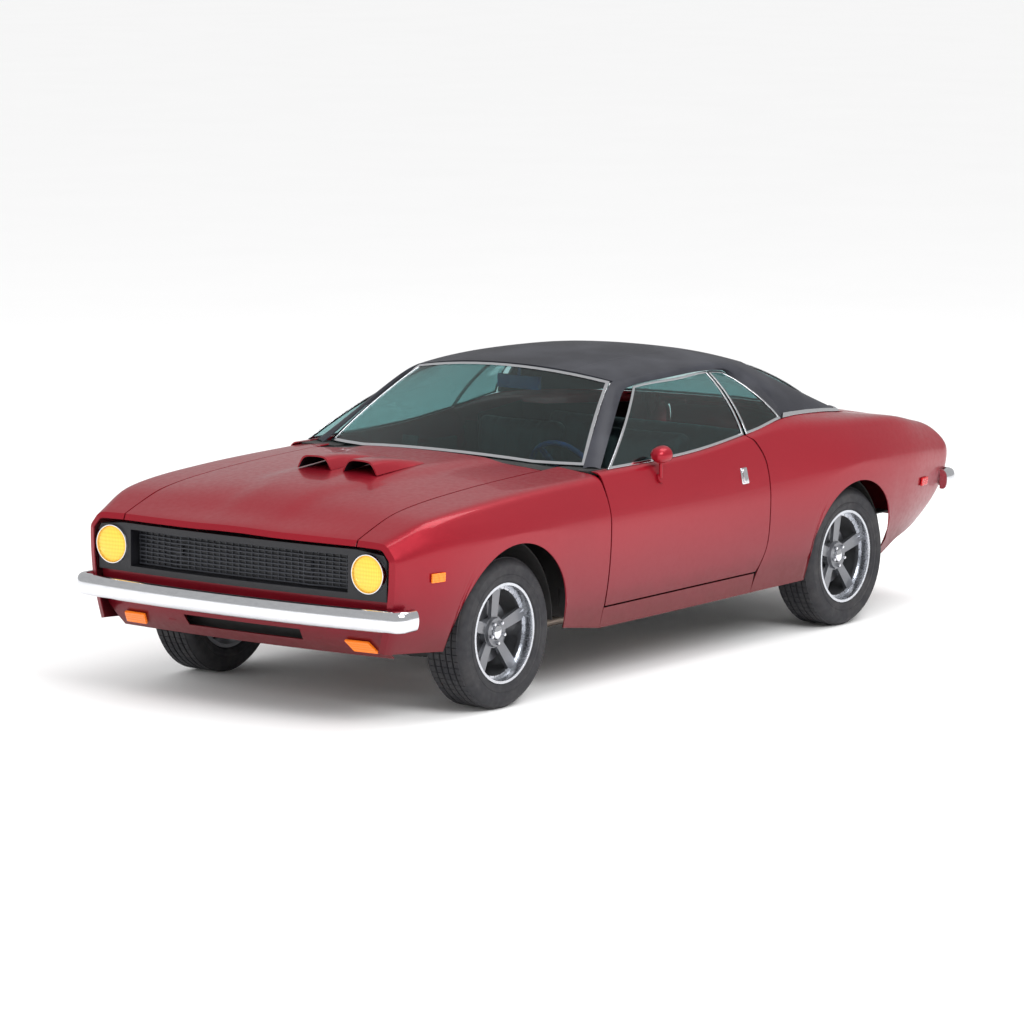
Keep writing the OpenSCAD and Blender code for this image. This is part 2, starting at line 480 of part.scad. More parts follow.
floor_edge = half_w - 220 - seat_gap;
rear_bay_y = rear_track / 2 - tyre_w / 2 - 40;
seat_pan_z = floor_z + 158;
axle_pan_z = floor_z + 278;
trunk_floor_z = floor_z + 170;
pan_t = 8;
module floor_pan() color("#3a3a3e") {
    box([door_rear - 30, -floor_edge, floor_z - pan_t], [firewall_x - 110, floor_edge, floor_z]);
    side_plate([[firewall_x - seat_gap, floor_z + 150], [firewall_x - seat_gap, floor_z + 162], [firewall_x - 112, floor_z],
                [firewall_x - 112, floor_z - pan_t], [firewall_x - 104, floor_z - pan_t]], -floor_edge, floor_edge);
    box([door_rear - 38, -floor_edge, floor_z - pan_t], [door_rear - 30, floor_edge, seat_pan_z]);
    box([rear_axle + 380, -rear_bay_y, seat_pan_z - pan_t], [door_rear - 30, rear_bay_y, seat_pan_z]);
    box([rear_axle + 380, -rear_bay_y, seat_pan_z - pan_t], [rear_axle + 388, rear_bay_y, axle_pan_z]);
    box([rear_axle - 288, -rear_bay_y, axle_pan_z - pan_t], [rear_axle + 388, rear_bay_y, axle_pan_z]);
    box([rear_axle - 288, -rear_bay_y, trunk_floor_z - pan_t], [rear_axle - 280, rear_bay_y, axle_pan_z]);
    box([tail_x + 170, -rear_bay_y, trunk_floor_z - pan_t], [rear_axle - 280, rear_bay_y, trunk_floor_z]);
    box([firewall_x - 500, -95, floor_z - 1], [firewall_x - 114, 95, floor_z + 110]);
}

// Half-round wheel house over a wheel
module wheel_house(axle, r, y0, y1) translate([axle, y1, wheel_r]) rotate([90, 0, 0]) linear_extrude(y1 - y0)
    polygon(concat(arc(r + 6, 0, 180, 24), arc(r, 180, 0, 24)));

rail_y = 380;
apron_y = 440;
rail_z = 330;
support_x = front_axle + 640;
shelf_z = wheel_r + front_arch_r + 10;
function fender_flange(x, y0, y1) = let (z = on(fender_top_line, x)[2] - skin - 2.2)
    [[x, y0, z], [x, y1, z], [x, y1, z - 12], [x, y0, z - 12]];
module engine_bay() color("#2a2a2e") {
    both() {
        box([firewall_x + 12 + seat_gap, rail_y, rail_z], [support_x + 12, apron_y, rail_z + 80]);
        box([firewall_x + 12 + seat_gap, apron_y - 1, rail_z], [support_x + 12, apron_y + 9, shelf_z + 8]);
        box([firewall_x + 120, apron_y, shelf_z], [support_x + 12, hood_edge_y + 10, shelf_z + 8]);
        wheel_house(front_axle, front_arch_r + 3, apron_y, half_w - 132);
        for (x = [firewall_x + 200, front_axle - 60, front_axle + 400])
            box([x, hood_edge_y + 2, shelf_z], [x + 40, hood_edge_y + 10, on(fender_top_line, x + 40)[2] - skin - 10]);
        loft([for (x = [firewall_x + 160, front_axle - 300, front_axle, front_axle + 300, front_axle + 500, support_x])
            fender_flange(x, hood_edge_y + 2, hood_edge_y + 16)]);
    }
    box([support_x, -apron_y - 5, rail_z], [support_x + 12, apron_y + 5, shelf_z + 40]);
}

firewall_y = hood_edge_y - 8;
post_x = [door_front - 56, door_front + 4];
post_y = [half_w - 215, half_w - 160];
function cowl_grid() = [for (s = steps(3)) [for (k = [-8:8]) let (y = -k / 8 * (hood_edge_y - 3),
    x = lerp(hood_rear - hinge_gap, screen_foot_x(y) - 40, s)) [x, y, cowl_z(x, y)]]];
module door_pin_bracket(z) translate([door_pin[0], door_pin[1], z]) {
    for (dz = [-8 - seat_gap, hinge_h + seat_gap]) translate([0, 0, dz]) linear_extrude(8)
        polygon([[-84, -170], [-84, -112], [-4, 9], [9, 9], [9, -12], [-40, -170]]);
    translate([0, 0, -6]) cylinder(r = hinge_pin_r, h = hinge_h + 12);
}
module bulkhead() color("#2a2a2e") {
    box([firewall_x, -firewall_y, rail_z], [firewall_x + 12, firewall_y, belt_z - 20]);
    skin_sheet(cowl_grid());
    box([firewall_x, -firewall_y, belt_z - 60], [firewall_x + 12, firewall_y, belt_z + 6]);
    both() {
        box([post_x[0], post_y[0], door_foot_z - shut_gap + seat_gap], [post_x[1], post_y[1], pillar_foot_z - 1]);
        box([firewall_x, firewall_y - 5, floor_z + 150], [firewall_x + 12, post_y[0] + 5, belt_z - 20]);
        box([front_axle - 830, hood_edge_y - 30, pillar_foot_z - 26], [post_x[1], cabin_y - 2, pillar_foot_z - seat_gap]);
        for (z = hinge_heights) door_pin_bracket(z);
        for (dy = [-arm_w / 2 - 10.5, arm_w / 2 + 0.5]) box([firewall_x + 10, hinge_y + dy, hood_pin[1] - 60],
            [hood_pin[0] + 9, hinge_y + dy + 10, hood_pin[1] + 9]);
        translate([hood_pin[0], hinge_y, hood_pin[1]]) rotate([90, 0, 0])
            cylinder(r = hinge_pin_r, h = arm_w + 14, center = true);
    }
}

// Front of the car: grille panel, lamps, valance and bumper
grille_z = [sill_z + 294, belt_z - 125 - nose_roll - 10];
lamp_y = 700;
lamp_z = belt_z - 270;
lamp_r = 85;
function face_x(y) = nose_x + nose_roll - 14 + nose_bow * (1 - pow(y / 800, 2));
module bowed_strip(y0, y1, depth, back, z0, z1) translate([0, 0, z0]) linear_extrude(z1 - z0) polygon(concat(
    [for (t = steps(10)) let (y = lerp(y0, y1, t)) [face_x(y) - back, y]],
    [for (t = steps(10)) let (y = lerp(y1, y0, t)) [face_x(y) - back - depth, y]]));
module grille_panel() color("#3c3c44") difference() {
    union() {
        intersection() {
            union() {
                bowed_strip(-800, 800, 50, 0, grille_z[0], grille_z[0] + 26);
                bowed_strip(-800, 800, 50, 0, grille_z[1] - 26, grille_z[1]);
                for (s = [-1, 1]) bowed_strip(s * 600, s * 800, 50, 0, grille_z[0], grille_z[1]);
                bowed_strip(-640, 640, 6, 60, grille_z[0], grille_z[1]);
                for (s = [-1, 1]) bowed_strip(s * 594, s * 606, 66, 0, grille_z[0], grille_z[1]);
            }
            cross_plate([[-half_w + 158, grille_z[0] - 1], [half_w - 158, grille_z[0] - 1], [half_w - 158, grille_z[1] - 40],
                         [half_w - 172, grille_z[1] - 16], [hood_edge_y, grille_z[1]], [-hood_edge_y, grille_z[1]],
                         [-half_w + 172, grille_z[1] - 16], [-half_w + 158, grille_z[1] - 40]], nose_x - 200, nose_x + 200);
        }
        for (s = [-1, 1]) box([support_x + 12 + seat_gap, s * 350 - 20, lamp_z - 20], [face_x(350) - 50, s * 350 + 20, lamp_z + 20]);
    }
    for (s = [-1, 1]) translate([nose_x - 200, s * lamp_y, lamp_z]) rotate([0, 90, 0]) cylinder(r = lamp_r + seat_gap, h = 400);
}
lamp_x = face_x(lamp_y) - 46;
module headlamp() color("gold") translate([lamp_x, lamp_y, lamp_z]) rotate([0, 90, 0]) {
    cylinder(r = lamp_r, h = 44);
    translate([0, 0, 44]) intersection() {
        translate([0, 0, -170]) sphere(r = sqrt(170 * 170 + lamp_r * lamp_r));
        cylinder(r = lamp_r, h = 40);
    }
}

valance_z = [sill_z + 33, sill_z + 60, sill_z + 83, sill_z + 133, sill_z + 168, sill_z + 228, grille_z[0] - 4];
valance_cols = [1, 0.9, 0.8, 0.6, 0.42, 0.2, 0, -0.2, -0.42, -0.6, -0.8, -0.9, -1];
function valance_tuck(z) = 95 * pow(clamp((sill_z + 168 - z) / 135, 0, 1), 1.6);
function valance_y(z) = low_y(nose_x, max(z, sill_at(nose_x))) - nose_roll - 10;
module front_valance() {
    g = [for (k = [0:len(valance_cols) - 1]) [for (j = [len(valance_z) - 1:-1:0]) let (z = valance_z[j],
        y = valance_cols[k] * valance_y(z)) [face_x(y) - 26 - valance_tuck(z), y, z]]];
    color("firebrick") difference() {
        union() {
            sheet_solid(g, offset_grid(g, skin), function (i, j) !(j == 3 && i > 3 && i < 8));
            for (s = [-1, 1]) box([support_x + 12 + seat_gap, s * 400 - 20, rail_z + 30], [face_x(400) - 58, s * 400 + 20, rail_z + 60]);
        }
        for (s = [-1, 1]) box([nose_x - 100, s * bracket_y - 30, bumper_z - 35], [nose_x + 200, s * bracket_y + 30, bumper_z]);
    }
}

bumper_z = sill_z + 220;
bracket_y = 300;
bumper_end_y = 896;
bumper_face = 10;
bumper_back = 32;
// Path of the bumper's middle seen from above, from its middle to its tip on the left
function bumper_path(front, drop, corner, end_y, tip) = let (yc = end_y - corner, xc = front - drop) concat(
    [for (t = [0, 0.2, 0.4, 0.6, 0.8, 1]) [front - drop * pow(t, 2.2), yc * t]],
    [for (a = [65, 40, 18, 0]) [xc - corner + corner * sin(a) , yc + corner * cos(a)]],
    [[xc - corner - tip, end_y]]);
function path_rings(path, section) = [for (k = [0:len(path) - 1])
    let (a = path[max(k - 1, 0)], b = path[min(k + 1, len(path) - 1)], d = k == 0 ? [0, 1] : unit(b - a), n = [d[1], -d[0]])
    [for (q = section) [path[k][0] + n[0] * q[0], path[k][1] + n[1] * q[0], q[1]]]];
bar_section = [[-bumper_back, -46], [-12, -50], [4, -38], [bumper_face, -14], [bumper_face, 14], [4, 36], [-12, 48],
               [-bumper_back, 46]];
function whole(rings) = concat([for (k = [len(rings) - 1:-1:1]) [for (p = rings[k]) [p[0], -p[1], p[2]]]], rings);
module front_bumper() color("silver") {
    path = bumper_path(car_length / 2 - bumper_face, 60, 62, bumper_end_y, 60);
    translate([0, 0, bumper_z]) loft(whole(path_rings(path, bar_section)));
    for (s = [-1, 1]) box([support_x + 12 + seat_gap, s * bracket_y - 25, bumper_z - 30],
        [car_length / 2 - bumper_face - 30, s * bracket_y + 25, bumper_z - 5]);
}

module amber_lamps() color("orange") {
    both() {
        signal_lamp();
        marker(front_axle + 538, belt_z - 295, 0.5);
    }
}
// Slanted turn signal on the valance
signal_outline = [[548, 112], [668, 112], [690, 62], [570, 62]];
module signal_lamp() {
    foot = [for (p = signal_outline) let (z = sill_z + p[1]) [face_x(p[0]) - 26 - valance_tuck(z) + 2.6, p[0], z]];
    loft([foot, [for (p = foot) p + [11, 0, -7]]]);
}
// Side lamp that lies on the body side at x and z
module marker(x, z, stand) {
    dz = (low_y(x, z + 10) - low_y(x, z - 10)) / 20;
    dx = (low_y(x + 10, z) - low_y(x - 10, z)) / 20;
    translate([x, low_y(x, z) + stand, z]) rotate([atan(dz) * -1, 0, atan(dx)]) box([-38, 0, -20], [38, 9, 20]);
}

// Back of the car
tail_panel_z = [sill_z + 158, sill_z + 220, sill_z + 290, sill_z + 350, sill_z + 420, sill_z + 480, sill_z + 540,
                belt_z - 47 - tail_roll - shut_gap - 4];
function tail_y(z) = (z < on(crease_line, tail_x)[2] ? low_y(tail_x, z)
    : lerp(half_w - 105, half_w - 165, (z - belt_z + 205) / 145)) - tail_roll - 8;
function tail_face(y, z) = tail_x - tail_roll + 14 + tail_lean(z) - 20 * (1 - pow(y / 800, 2));
module tail_panel() {
    g = [for (j = [0:len(tail_panel_z) - 1]) [for (k = [0:8]) let (z = tail_panel_z[j], y = lerp(1, -1, k / 8) * tail_y(z))
        [tail_face(y, z), y, z]]];
    color("firebrick") {
        skin_sheet([for (k = [0:len(g) - 1]) g[len(g) - 1 - k]]);
        for (s = [-1, 1]) box([tail_face(270, trunk_floor_z) + 2, s * 300 - 30, trunk_floor_z + seat_gap],
            [tail_x + 220, s * 300 + 30, trunk_floor_z + 12]);
    }
}
module red_lamps() color("red") both() {
    for (y = [330, 560]) let (x = tail_face(y - 100, tail_full_z) - 0.1)
        box([x - 12, y - 100, tail_full_z - 68], [x, y + 100, tail_full_z + 22]);
    marker(rear_axle - 668, belt_z - 323, -1.1);
}
rear_bumper_z = sill_z + 338;
plate_bolt_y = 89;        // licence plates have two bolts 178 mm apart
plate_bolt_z = rear_bumper_z - 72;
module rear_bumper() color("silver") {
    path = bumper_path(car_length / 2 - bumper_face, 45, 60, 880, 60);
    rotate([0, 0, 180]) translate([0, 0, rear_bumper_z]) loft(whole(path_rings(path, bar_section)));
    difference() {
        box([-car_length / 2 + 28, -152, plate_bolt_z - 75], [-car_length / 2 + 31, 152, plate_bolt_z + 45]);
        for (y = [-plate_bolt_y, plate_bolt_y]) translate([-car_length / 2, y, plate_bolt_z]) rotate([0, 90, 0])
            cylinder(r = 3.5, h = 60);
    }
    for (s = [-1, 1]) box([-car_length / 2 + bumper_face + 30, s * 450 - 25, rear_bumper_z - 20],
        [tail_face(425, rear_bumper_z + 10) - 1, s * 450 + 25, rear_bumper_z + 10]);
}
module rear_deck_panel() {
    g = [for (s = steps(4)) let (x = lerp(rear_foot + 90, trunk_front + hinge_gap, s))
        [for (k = [-7:7]) let (w = -k / 7, y = w * (min(on(top_line, x)[1], 626) - 1)) [x, y, deck_z(x, y)]]];
    color("firebrick") {
        skin_sheet(g);
        both() {
            for (dy = [-arm_w / 2 - 10.5, arm_w / 2 + 0.5]) box([trunk_pin[0] - 9, trunk_hinge_y + dy, trunk_pin[1] - 9],
                [trunk_pin[0] + 40, trunk_hinge_y + dy + 10, deck_z(trunk_pin[0] - 9, trunk_hinge_y + dy + 10) - 2]);
            translate([trunk_pin[0], trunk_hinge_y, trunk_pin[1]]) rotate([90, 0, 0])
                cylinder(r = hinge_pin_r, h = arm_w + 14, center = true);
        }
    }
}

// Cabin side, wheel house and trunk side behind the door
jamb_x = door_rear - 26;
function jamb_outline(x) = concat([[post_y[0] + 30, sill_z + 10]], [for (t = steps(6)) let (z = lerp(sill_z + 10, belt_z - 230, t))
    [low_y(x, z) - skin - 0.9, z]], [[half_w - 95, belt_z - 60], [half_w - 112, belt_z - 20], [post_y[0] + 30, belt_z - 20]]);
module inner_quarter() {
    cross_plate(jamb_outline(jamb_x + 6), jamb_x, jamb_x + 10);
    side_plate([[jamb_x + 5, sill_z + 10], [rear_axle + 370, sill_z + 10], [rear_axle + 370, belt_z + 50], [jamb_x + 5, belt_z + 20]],
        post_y[0] + 26, post_y[0] + 34);
    wheel_house(rear_axle, rear_arch_r + 3, rear_bay_y + seat_gap, half_w - 124);
    side_plate([[rear_axle + 376, floor_z + 130], [rear_axle + 376, belt_z + 40], [rear_axle - 376, belt_z - 20],
                [rear_axle - 376, floor_z + 130]],
        rear_bay_y + seat_gap, rear_bay_y + 8);
    box([rear_axle + 366, rear_bay_y + seat_gap, floor_z + 60], [rear_axle + 376, post_y[0] + 34, belt_z + 40]);
}
module inner_quarters() color("#26262a") both() inner_quarter();

// ---- cabin ----
module dashboard() color("#2e3036") {
    side_plate([[firewall_x - 40, belt_z - 16], [firewall_x - 190, belt_z - 14], [firewall_x - 236, belt_z - 26],
                [firewall_x - 250, belt_z - 66], [firewall_x - 228, belt_z - 180], [firewall_x - 170, belt_z - 240],
                [firewall_x - 40, belt_z - 240]], -cabin_y + 12, cabin_y - 12);
    side_plate([[firewall_x - seat_gap, belt_z - 40], [firewall_x - 41, belt_z - 18], [firewall_x - 41, belt_z - 240],
                [firewall_x - seat_gap, belt_z - 240]], -firewall_y, firewall_y);
    difference() {
        bar(column_at(45), column_at(290), 28);
        bar(column_at(30), column_at(160), shaft_r + pin_fit);
    }
}
wheel_center = [front_axle - 1132, 370, belt_z - 95];
column_tilt = 25;
shaft_r = 12;
function column_at(d) = wheel_center + d * [cos(column_tilt), 0, -sin(column_tilt)];
module steering_wheel() color("#2c4c8c") translate(wheel_center) rotate([0, 90 + column_tilt, 0]) {
    rotate_extrude() translate([178, 0]) circle(r = 12);
    cylinder(r = 42, h = 30);
    cylinder(r = shaft_r, h = 140);
    for (a = [90, 210, 330]) rotate([0, 0, a]) box([30, -14, 4], [172, 14, 12]);
}
seat_y = 350;
// Side outline of a seat: its pedestal, its cushion and its leaning back
module seat(x, foot_z, cushion_z, length, back_h, y0, y1) side_plate([[x + length - 40, foot_z], [x + length - 40, cushion_z - 110],
    [x + length, cushion_z - 100], [x + length + 12, cushion_z - 40], [x + length - 20, cushion_z],
    [x + 90, cushion_z - 30], [x + 60, cushion_z + 20], [x - back_h * 0.26 + 40, cushion_z + back_h - 30], [x - back_h * 0.26, cushion_z + back_h],
    [x - back_h * 0.26 - 60, cushion_z + back_h - 20], [x - 80, cushion_z - 90], [x - 20, cushion_z - 120], [x + 20, foot_z]], y0, y1);
module front_seats() color("#1e1f24") for (s = [-1, 1]) translate([0, s * seat_y, 0])
    seat(-190, floor_z + seat_gap, floor_z + 230, 480, 610, -250, 250);
module rear_seat() color("#1e1f24") seat(rear_axle + 482, seat_pan_z + seat_gap, seat_pan_z + 160, 300, 430, -rear_bay_y + 2, rear_bay_y - 2);
module center_console() color("#1e1f24") {
    box([-160, -85, floor_z + seat_gap], [firewall_x - 505, 85, floor_z + 190]);
    bar([60, 0, floor_z + 170], [30, 0, floor_z + 330], 7);
    translate([30, 0, floor_z + 340]) sphere(r = 24);
}
module inside_mirror() color("#2c4c8c") {
    x = front_axle - 1290;
    box([x - 12, -115, roof_height - 155], [x + 12, 115, roof_height - 95]);
    bar([x, 0, roof_height - 110], [x, 0, roof_height - 22.9 - roof_t], 8);
}

// ---- engine and running gear ----
module engine() color("#4a4a50") {
    box([front_axle - 420, -235, rail_z - 50], [front_axle + 260, 235, rail_z + 430]);
    box([front_axle - 60, -rail_y - 50, rail_z + 80 + seat_gap], [front_axle + 20, rail_y + 50, rail_z + 110]);
}
kingpin_y = front_track / 2 - 105;
kingpin_r = 10;
upright_h = 110;
module arm(y0, z0, z1) difference() {
    union() {
        translate([0, 0, z0]) linear_extrude(z1 - z0) polygon([[front_axle - 110, y0], [front_axle + 110, y0],
            [front_axle + 16, kingpin_y], [front_axle - 16, kingpin_y]]);
        translate([front_axle, kingpin_y, z0]) cylinder(r = 22, h = z1 - z0);
    }
    translate([front_axle, kingpin_y, z0 - 1]) cylinder(r = kingpin_r + pin_fit, h = z1 - z0 + 2);
}
module front_suspension() color("#3a3a3e") {
    box([front_axle - 50, -apron_y, wheel_r - 140], [front_axle + 50, apron_y, wheel_r - 80]);
    both() {
        box([front_axle - 50, rail_y + 10, wheel_r - 90], [front_axle + 50, apron_y - 10, rail_z - seat_gap]);
        arm(apron_y - 20, wheel_r - upright_h - 20, wheel_r - upright_h - 0.5);
        arm(apron_y + 9 + seat_gap, wheel_r + upright_h + 0.5, wheel_r + upright_h + 20);
    }
}
module knuckle() color("#4a4a50") translate([front_axle, kingpin_y, wheel_r]) {
    cylinder(r = 17, h = 2 * upright_h, center = true);
    cylinder(r = kingpin_r, h = 2 * upright_h + 36, center = true);
    rotate([-90, 0, 0]) cylinder(r = spindle_r, h = front_track / 2 - kingpin_y + 40);
    rotate([-90, 0, 0]) cylinder(r = 60, h = 40);
}
spring_y = 540;
module leaf_spring() {
    side_plate(concat([for (t = steps(10)) let (x = lerp(560, -620, t)) [rear_axle + x, wheel_r - 42 + 60 * pow(x / 600, 2)]],
        [for (t = steps(10)) let (x = lerp(-620, 560, t)) [rear_axle + x, wheel_r - 66 + 60 * pow(x / 600, 2)]]),
        spring_y - 30, spring_y + 30);
    box([rear_axle + 535, spring_y - 36, wheel_r - 40], [rear_axle + 585, spring_y + 36, seat_pan_z - pan_t - seat_gap]);
    box([rear_axle - 640, spring_y - 36, wheel_r - 40], [rear_axle - 590, spring_y + 36, trunk_floor_z - pan_t - seat_gap]);
    box([rear_axle - 45, spring_y - 36, wheel_r - 75], [rear_axle + 45, spring_y + 36, wheel_r - 20]);
}
module rear_axle_unit() color("#3a3a3e") {
    translate([rear_axle, 0, wheel_r]) rotate([90, 0, 0]) {
        cylinder(r = 38, h = 2 * (rear_track / 2 - 80), center = true);
        cylinder(r = spindle_r, h = rear_track + 80, center = true);
        sphere(r = 110);
    }
    both() leaf_spring();
}
pipe_y = 450;
pipe_z = floor_z - 48;
module exhaust() color("#6a6a6e") both() {
    bar([firewall_x - 60, pipe_y, pipe_z], [rear_axle - 800, pipe_y, pipe_z], 24);
    box([-520, pipe_y - 100, pipe_z - 38], [-60, pipe_y + 100, pipe_z + 34]);
    box([400, pipe_y - 8, pipe_z], [420, pipe_y + 8, floor_z - pan_t - seat_gap]);
    box([-440, pipe_y - 8, pipe_z], [-420, pipe_y + 8, floor_z - pan_t - seat_gap]);
    box([rear_axle - 760, pipe_y - 8, pipe_z], [rear_axle - 740, pipe_y + 8, trunk_floor_z - pan_t - seat_gap]);
}
module fuel_tank() color("#3a3a3e") box([rear_axle - 770, -360, trunk_floor_z - pan_t - 150],
    [rear_axle - 330, 360, trunk_floor_z - pan_t - seat_gap]);

// ---- wheels ----
module tyre() color("#1c1c20") rotate([90, 0, 0]) rotate_extrude($fn = 96) polygon([
    [rim_d / 2 + seat_gap, -tyre_w / 2 + 14], [rim_d / 2 + 20, -tyre_w / 2 + 4], [wheel_r - 58, -tyre_w / 2],
    [wheel_r - 22, -tyre_w / 2 + 6], [wheel_r - 4, -tyre_w / 2 + 20], [wheel_r, -tyre_w / 2 + 32],
    [wheel_r, tyre_w / 2 - 32], [wheel_r - 4, tyre_w / 2 - 20], [wheel_r - 22, tyre_w / 2 - 6],
    [wheel_r - 58, tyre_w / 2], [rim_d / 2 + 20, tyre_w / 2 - 4], [rim_d / 2 + seat_gap, tyre_w / 2 - 14]]);
rim_t = 16;
hub_r = 62;
spokes = 5;
module rim_window() {
    r0 = hub_r + 8;
    r1 = rim_d / 2 - rim_t - 14;
    half0 = 17;
    half1 = 38;
    linear_extrude(200, center = true) polygon(concat(arc(r0, -half0, half0, 4), arc(r1, half1 * 0.72, -half1 * 0.72, 6)));
}
// Rim with its open side towards the car, its outer face at +Z
module rim() color("#8a8c92") rotate([-90, 0, 0]) difference() {
    union() {
        rotate_extrude($fn = 96) polygon([[rim_d / 2 - rim_t, -tyre_w / 2 + 15], [rim_d / 2, -tyre_w / 2 + 15],
            [rim_d / 2, tyre_w / 2 - 12], [rim_d / 2 - 12, tyre_w / 2 - 12], [rim_d / 2 - rim_t, tyre_w / 2 - 24]]);
        rotate_extrude($fn = 96) polygon([[0, 14], [rim_d / 2 - rim_t + 1, 34], [rim_d / 2 - rim_t + 1, 52],
            [hub_r + 4, 38], [hub_r, 52], [0, 52]]);
        translate([0, 0, -30]) cylinder(r = hub_r, h = 60);
        translate([0, 0, -30]) cylinder(r = 135, h = 34);
    }
    for (k = [0:spokes - 1]) rotate([0, 0, (k + 0.5) * 360 / spokes - 90]) translate([0, 0, 105]) rim_window();
    translate([0, 0, -40]) cylinder(r = spindle_r + pin_fit, h = 82);
}
module place_wheel(axle, track, side) translate([axle, side * track / 2, wheel_r]) scale([1, side, 1]) children();

// ---- door mirror ----
mirror_x = front_axle - 1130;
mirror_y = half_w - 52;
mirror_half = [50, 42];
function mirror_ring(x, k) = [for (a = [0:30:330]) [x, mirror_y + k * mirror_half[0] * cos(a), belt_z + 50 + k * mirror_half[1] * sin(a)]];
module door_mirror() color("firebrick") {
    p = high_point(mirror_x, top_line, 0.38);
    q = high_point(mirror_x, top_line, 0.40);
    n = unit([0, q[2] - p[2], p[1] - q[1]]);
    foot = p + n * (seat_gap + 0.3);
    bar(foot, foot + 9 * n, 22);
    bar(foot + 6 * n, [mirror_x, mirror_y, belt_z + 30], 8);
    loft([mirror_ring(mirror_x - 30, 0.94), mirror_ring(mirror_x - 26, 1), mirror_ring(mirror_x + 6, 0.95),
          mirror_ring(mirror_x + 34, 0.75), mirror_ring(mirror_x + 50, 0.35)]);
}

floor_pan();
both() rocker_panel();  // rocker_panels
both() front_fender();  // front_fenders
engine_bay();
grille_panel();
both() headlamp();  // headlamps
front_valance();
front_bumper();
amber_lamps();
bulkhead();
dashboard();
windshield();
rear_window();
both() quarter_window();  // quarter_windows
roof();
both() quarter_panel();  // quarter_panels
inner_quarters();
rear_deck_panel();
tail_panel();
red_lamps();
rear_bumper();
front_seats();
rear_seat();
center_console();
inside_mirror();
engine();
front_suspension();
rear_axle_unit();  // rear_axle
exhaust();
fuel_tank();
left() door();  // door_left
left() door_glass();  // door_glass_left
door_mirror();
right() door();  // door_right
right() door_glass();  // door_glass_right
hood();
hood_scoops();
trunk_lid();
left() knuckle();  // knuckle_left
right() knuckle();  // knuckle_right
steering_wheel();
place_wheel(front_axle, front_track, 1) tyre();  // tyre_front_left
place_wheel(front_axle, front_track, -1) tyre();  // tyre_front_right
place_wheel(rear_axle, rear_track, 1) tyre();  // tyre_rear_left
place_wheel(rear_axle, rear_track, -1) tyre();  // tyre_rear_right
place_wheel(front_axle, front_track, 1) rim();  // rim_front_left
place_wheel(front_axle, front_track, -1) rim();  // rim_front_right
place_wheel(rear_axle, rear_track, 1) rim();  // rim_rear_left
place_wheel(rear_axle, rear_track, -1) rim();  // rim_rear_right
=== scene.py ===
import json
import logging
import math
from collections.abc import Callable, Iterable, Sequence
from dataclasses import dataclass
from enum import Enum

import bmesh
import bpy
from mathutils import Matrix, Vector
from mathutils.bvhtree import BVHTree


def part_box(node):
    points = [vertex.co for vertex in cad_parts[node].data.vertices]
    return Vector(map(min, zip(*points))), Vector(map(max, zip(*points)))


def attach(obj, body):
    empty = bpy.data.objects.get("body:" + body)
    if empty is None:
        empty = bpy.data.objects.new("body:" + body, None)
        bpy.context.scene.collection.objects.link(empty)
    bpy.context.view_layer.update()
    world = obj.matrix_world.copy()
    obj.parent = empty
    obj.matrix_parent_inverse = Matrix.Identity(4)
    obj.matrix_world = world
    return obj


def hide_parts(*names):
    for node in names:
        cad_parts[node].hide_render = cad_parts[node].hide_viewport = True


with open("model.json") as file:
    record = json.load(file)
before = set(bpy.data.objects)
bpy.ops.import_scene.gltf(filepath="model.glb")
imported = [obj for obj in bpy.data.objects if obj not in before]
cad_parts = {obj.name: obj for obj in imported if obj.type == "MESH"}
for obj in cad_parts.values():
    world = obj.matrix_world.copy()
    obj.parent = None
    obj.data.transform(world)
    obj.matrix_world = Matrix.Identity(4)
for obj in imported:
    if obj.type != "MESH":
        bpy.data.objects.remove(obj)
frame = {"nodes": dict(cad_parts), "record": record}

LOG = logging.getLogger("muscle_car")
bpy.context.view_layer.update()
BODY_OF = {node: body for body, nodes in frame["record"]["behaviour"]["bodies"].items() for node in nodes}
Colour = tuple[float, float, float]


class Side(Enum):
    """Side of the car, as the sign of Y."""

    LEFT = 1
    RIGHT = -1


# ---------------------------------------------------------------- materials
class Link:
    """A value in a material's nodes that adds Math nodes when it is used in an expression."""

    def __init__(self, graph: "Graph", socket: bpy.types.NodeSocket) -> None:
        """Wraps one output socket of a material."""
        self.graph = graph
        self.socket = socket

    def __add__(self, other: "Link | float") -> "Link":
        """Sum."""
        return self.graph.math("ADD", self, other)

    def __radd__(self, other: float) -> "Link":
        """Sum with a number on the left."""
        return self.graph.math("ADD", other, self)

    def __sub__(self, other: "Link | float") -> "Link":
        """Difference."""
        return self.graph.math("SUBTRACT", self, other)

    def __rsub__(self, other: float) -> "Link":
        """Difference from a number."""
        return self.graph.math("SUBTRACT", other, self)

    def __mul__(self, other: "Link | float") -> "Link":
        """Product."""
        return self.graph.math("MULTIPLY", self, other)

    def __rmul__(self, other: float) -> "Link":
        """Product with a number on the left."""
        return self.graph.math("MULTIPLY", other, self)

    def __abs__(self) -> "Link":
        """Size without its sign."""
        return self.graph.math("ABSOLUTE", self)


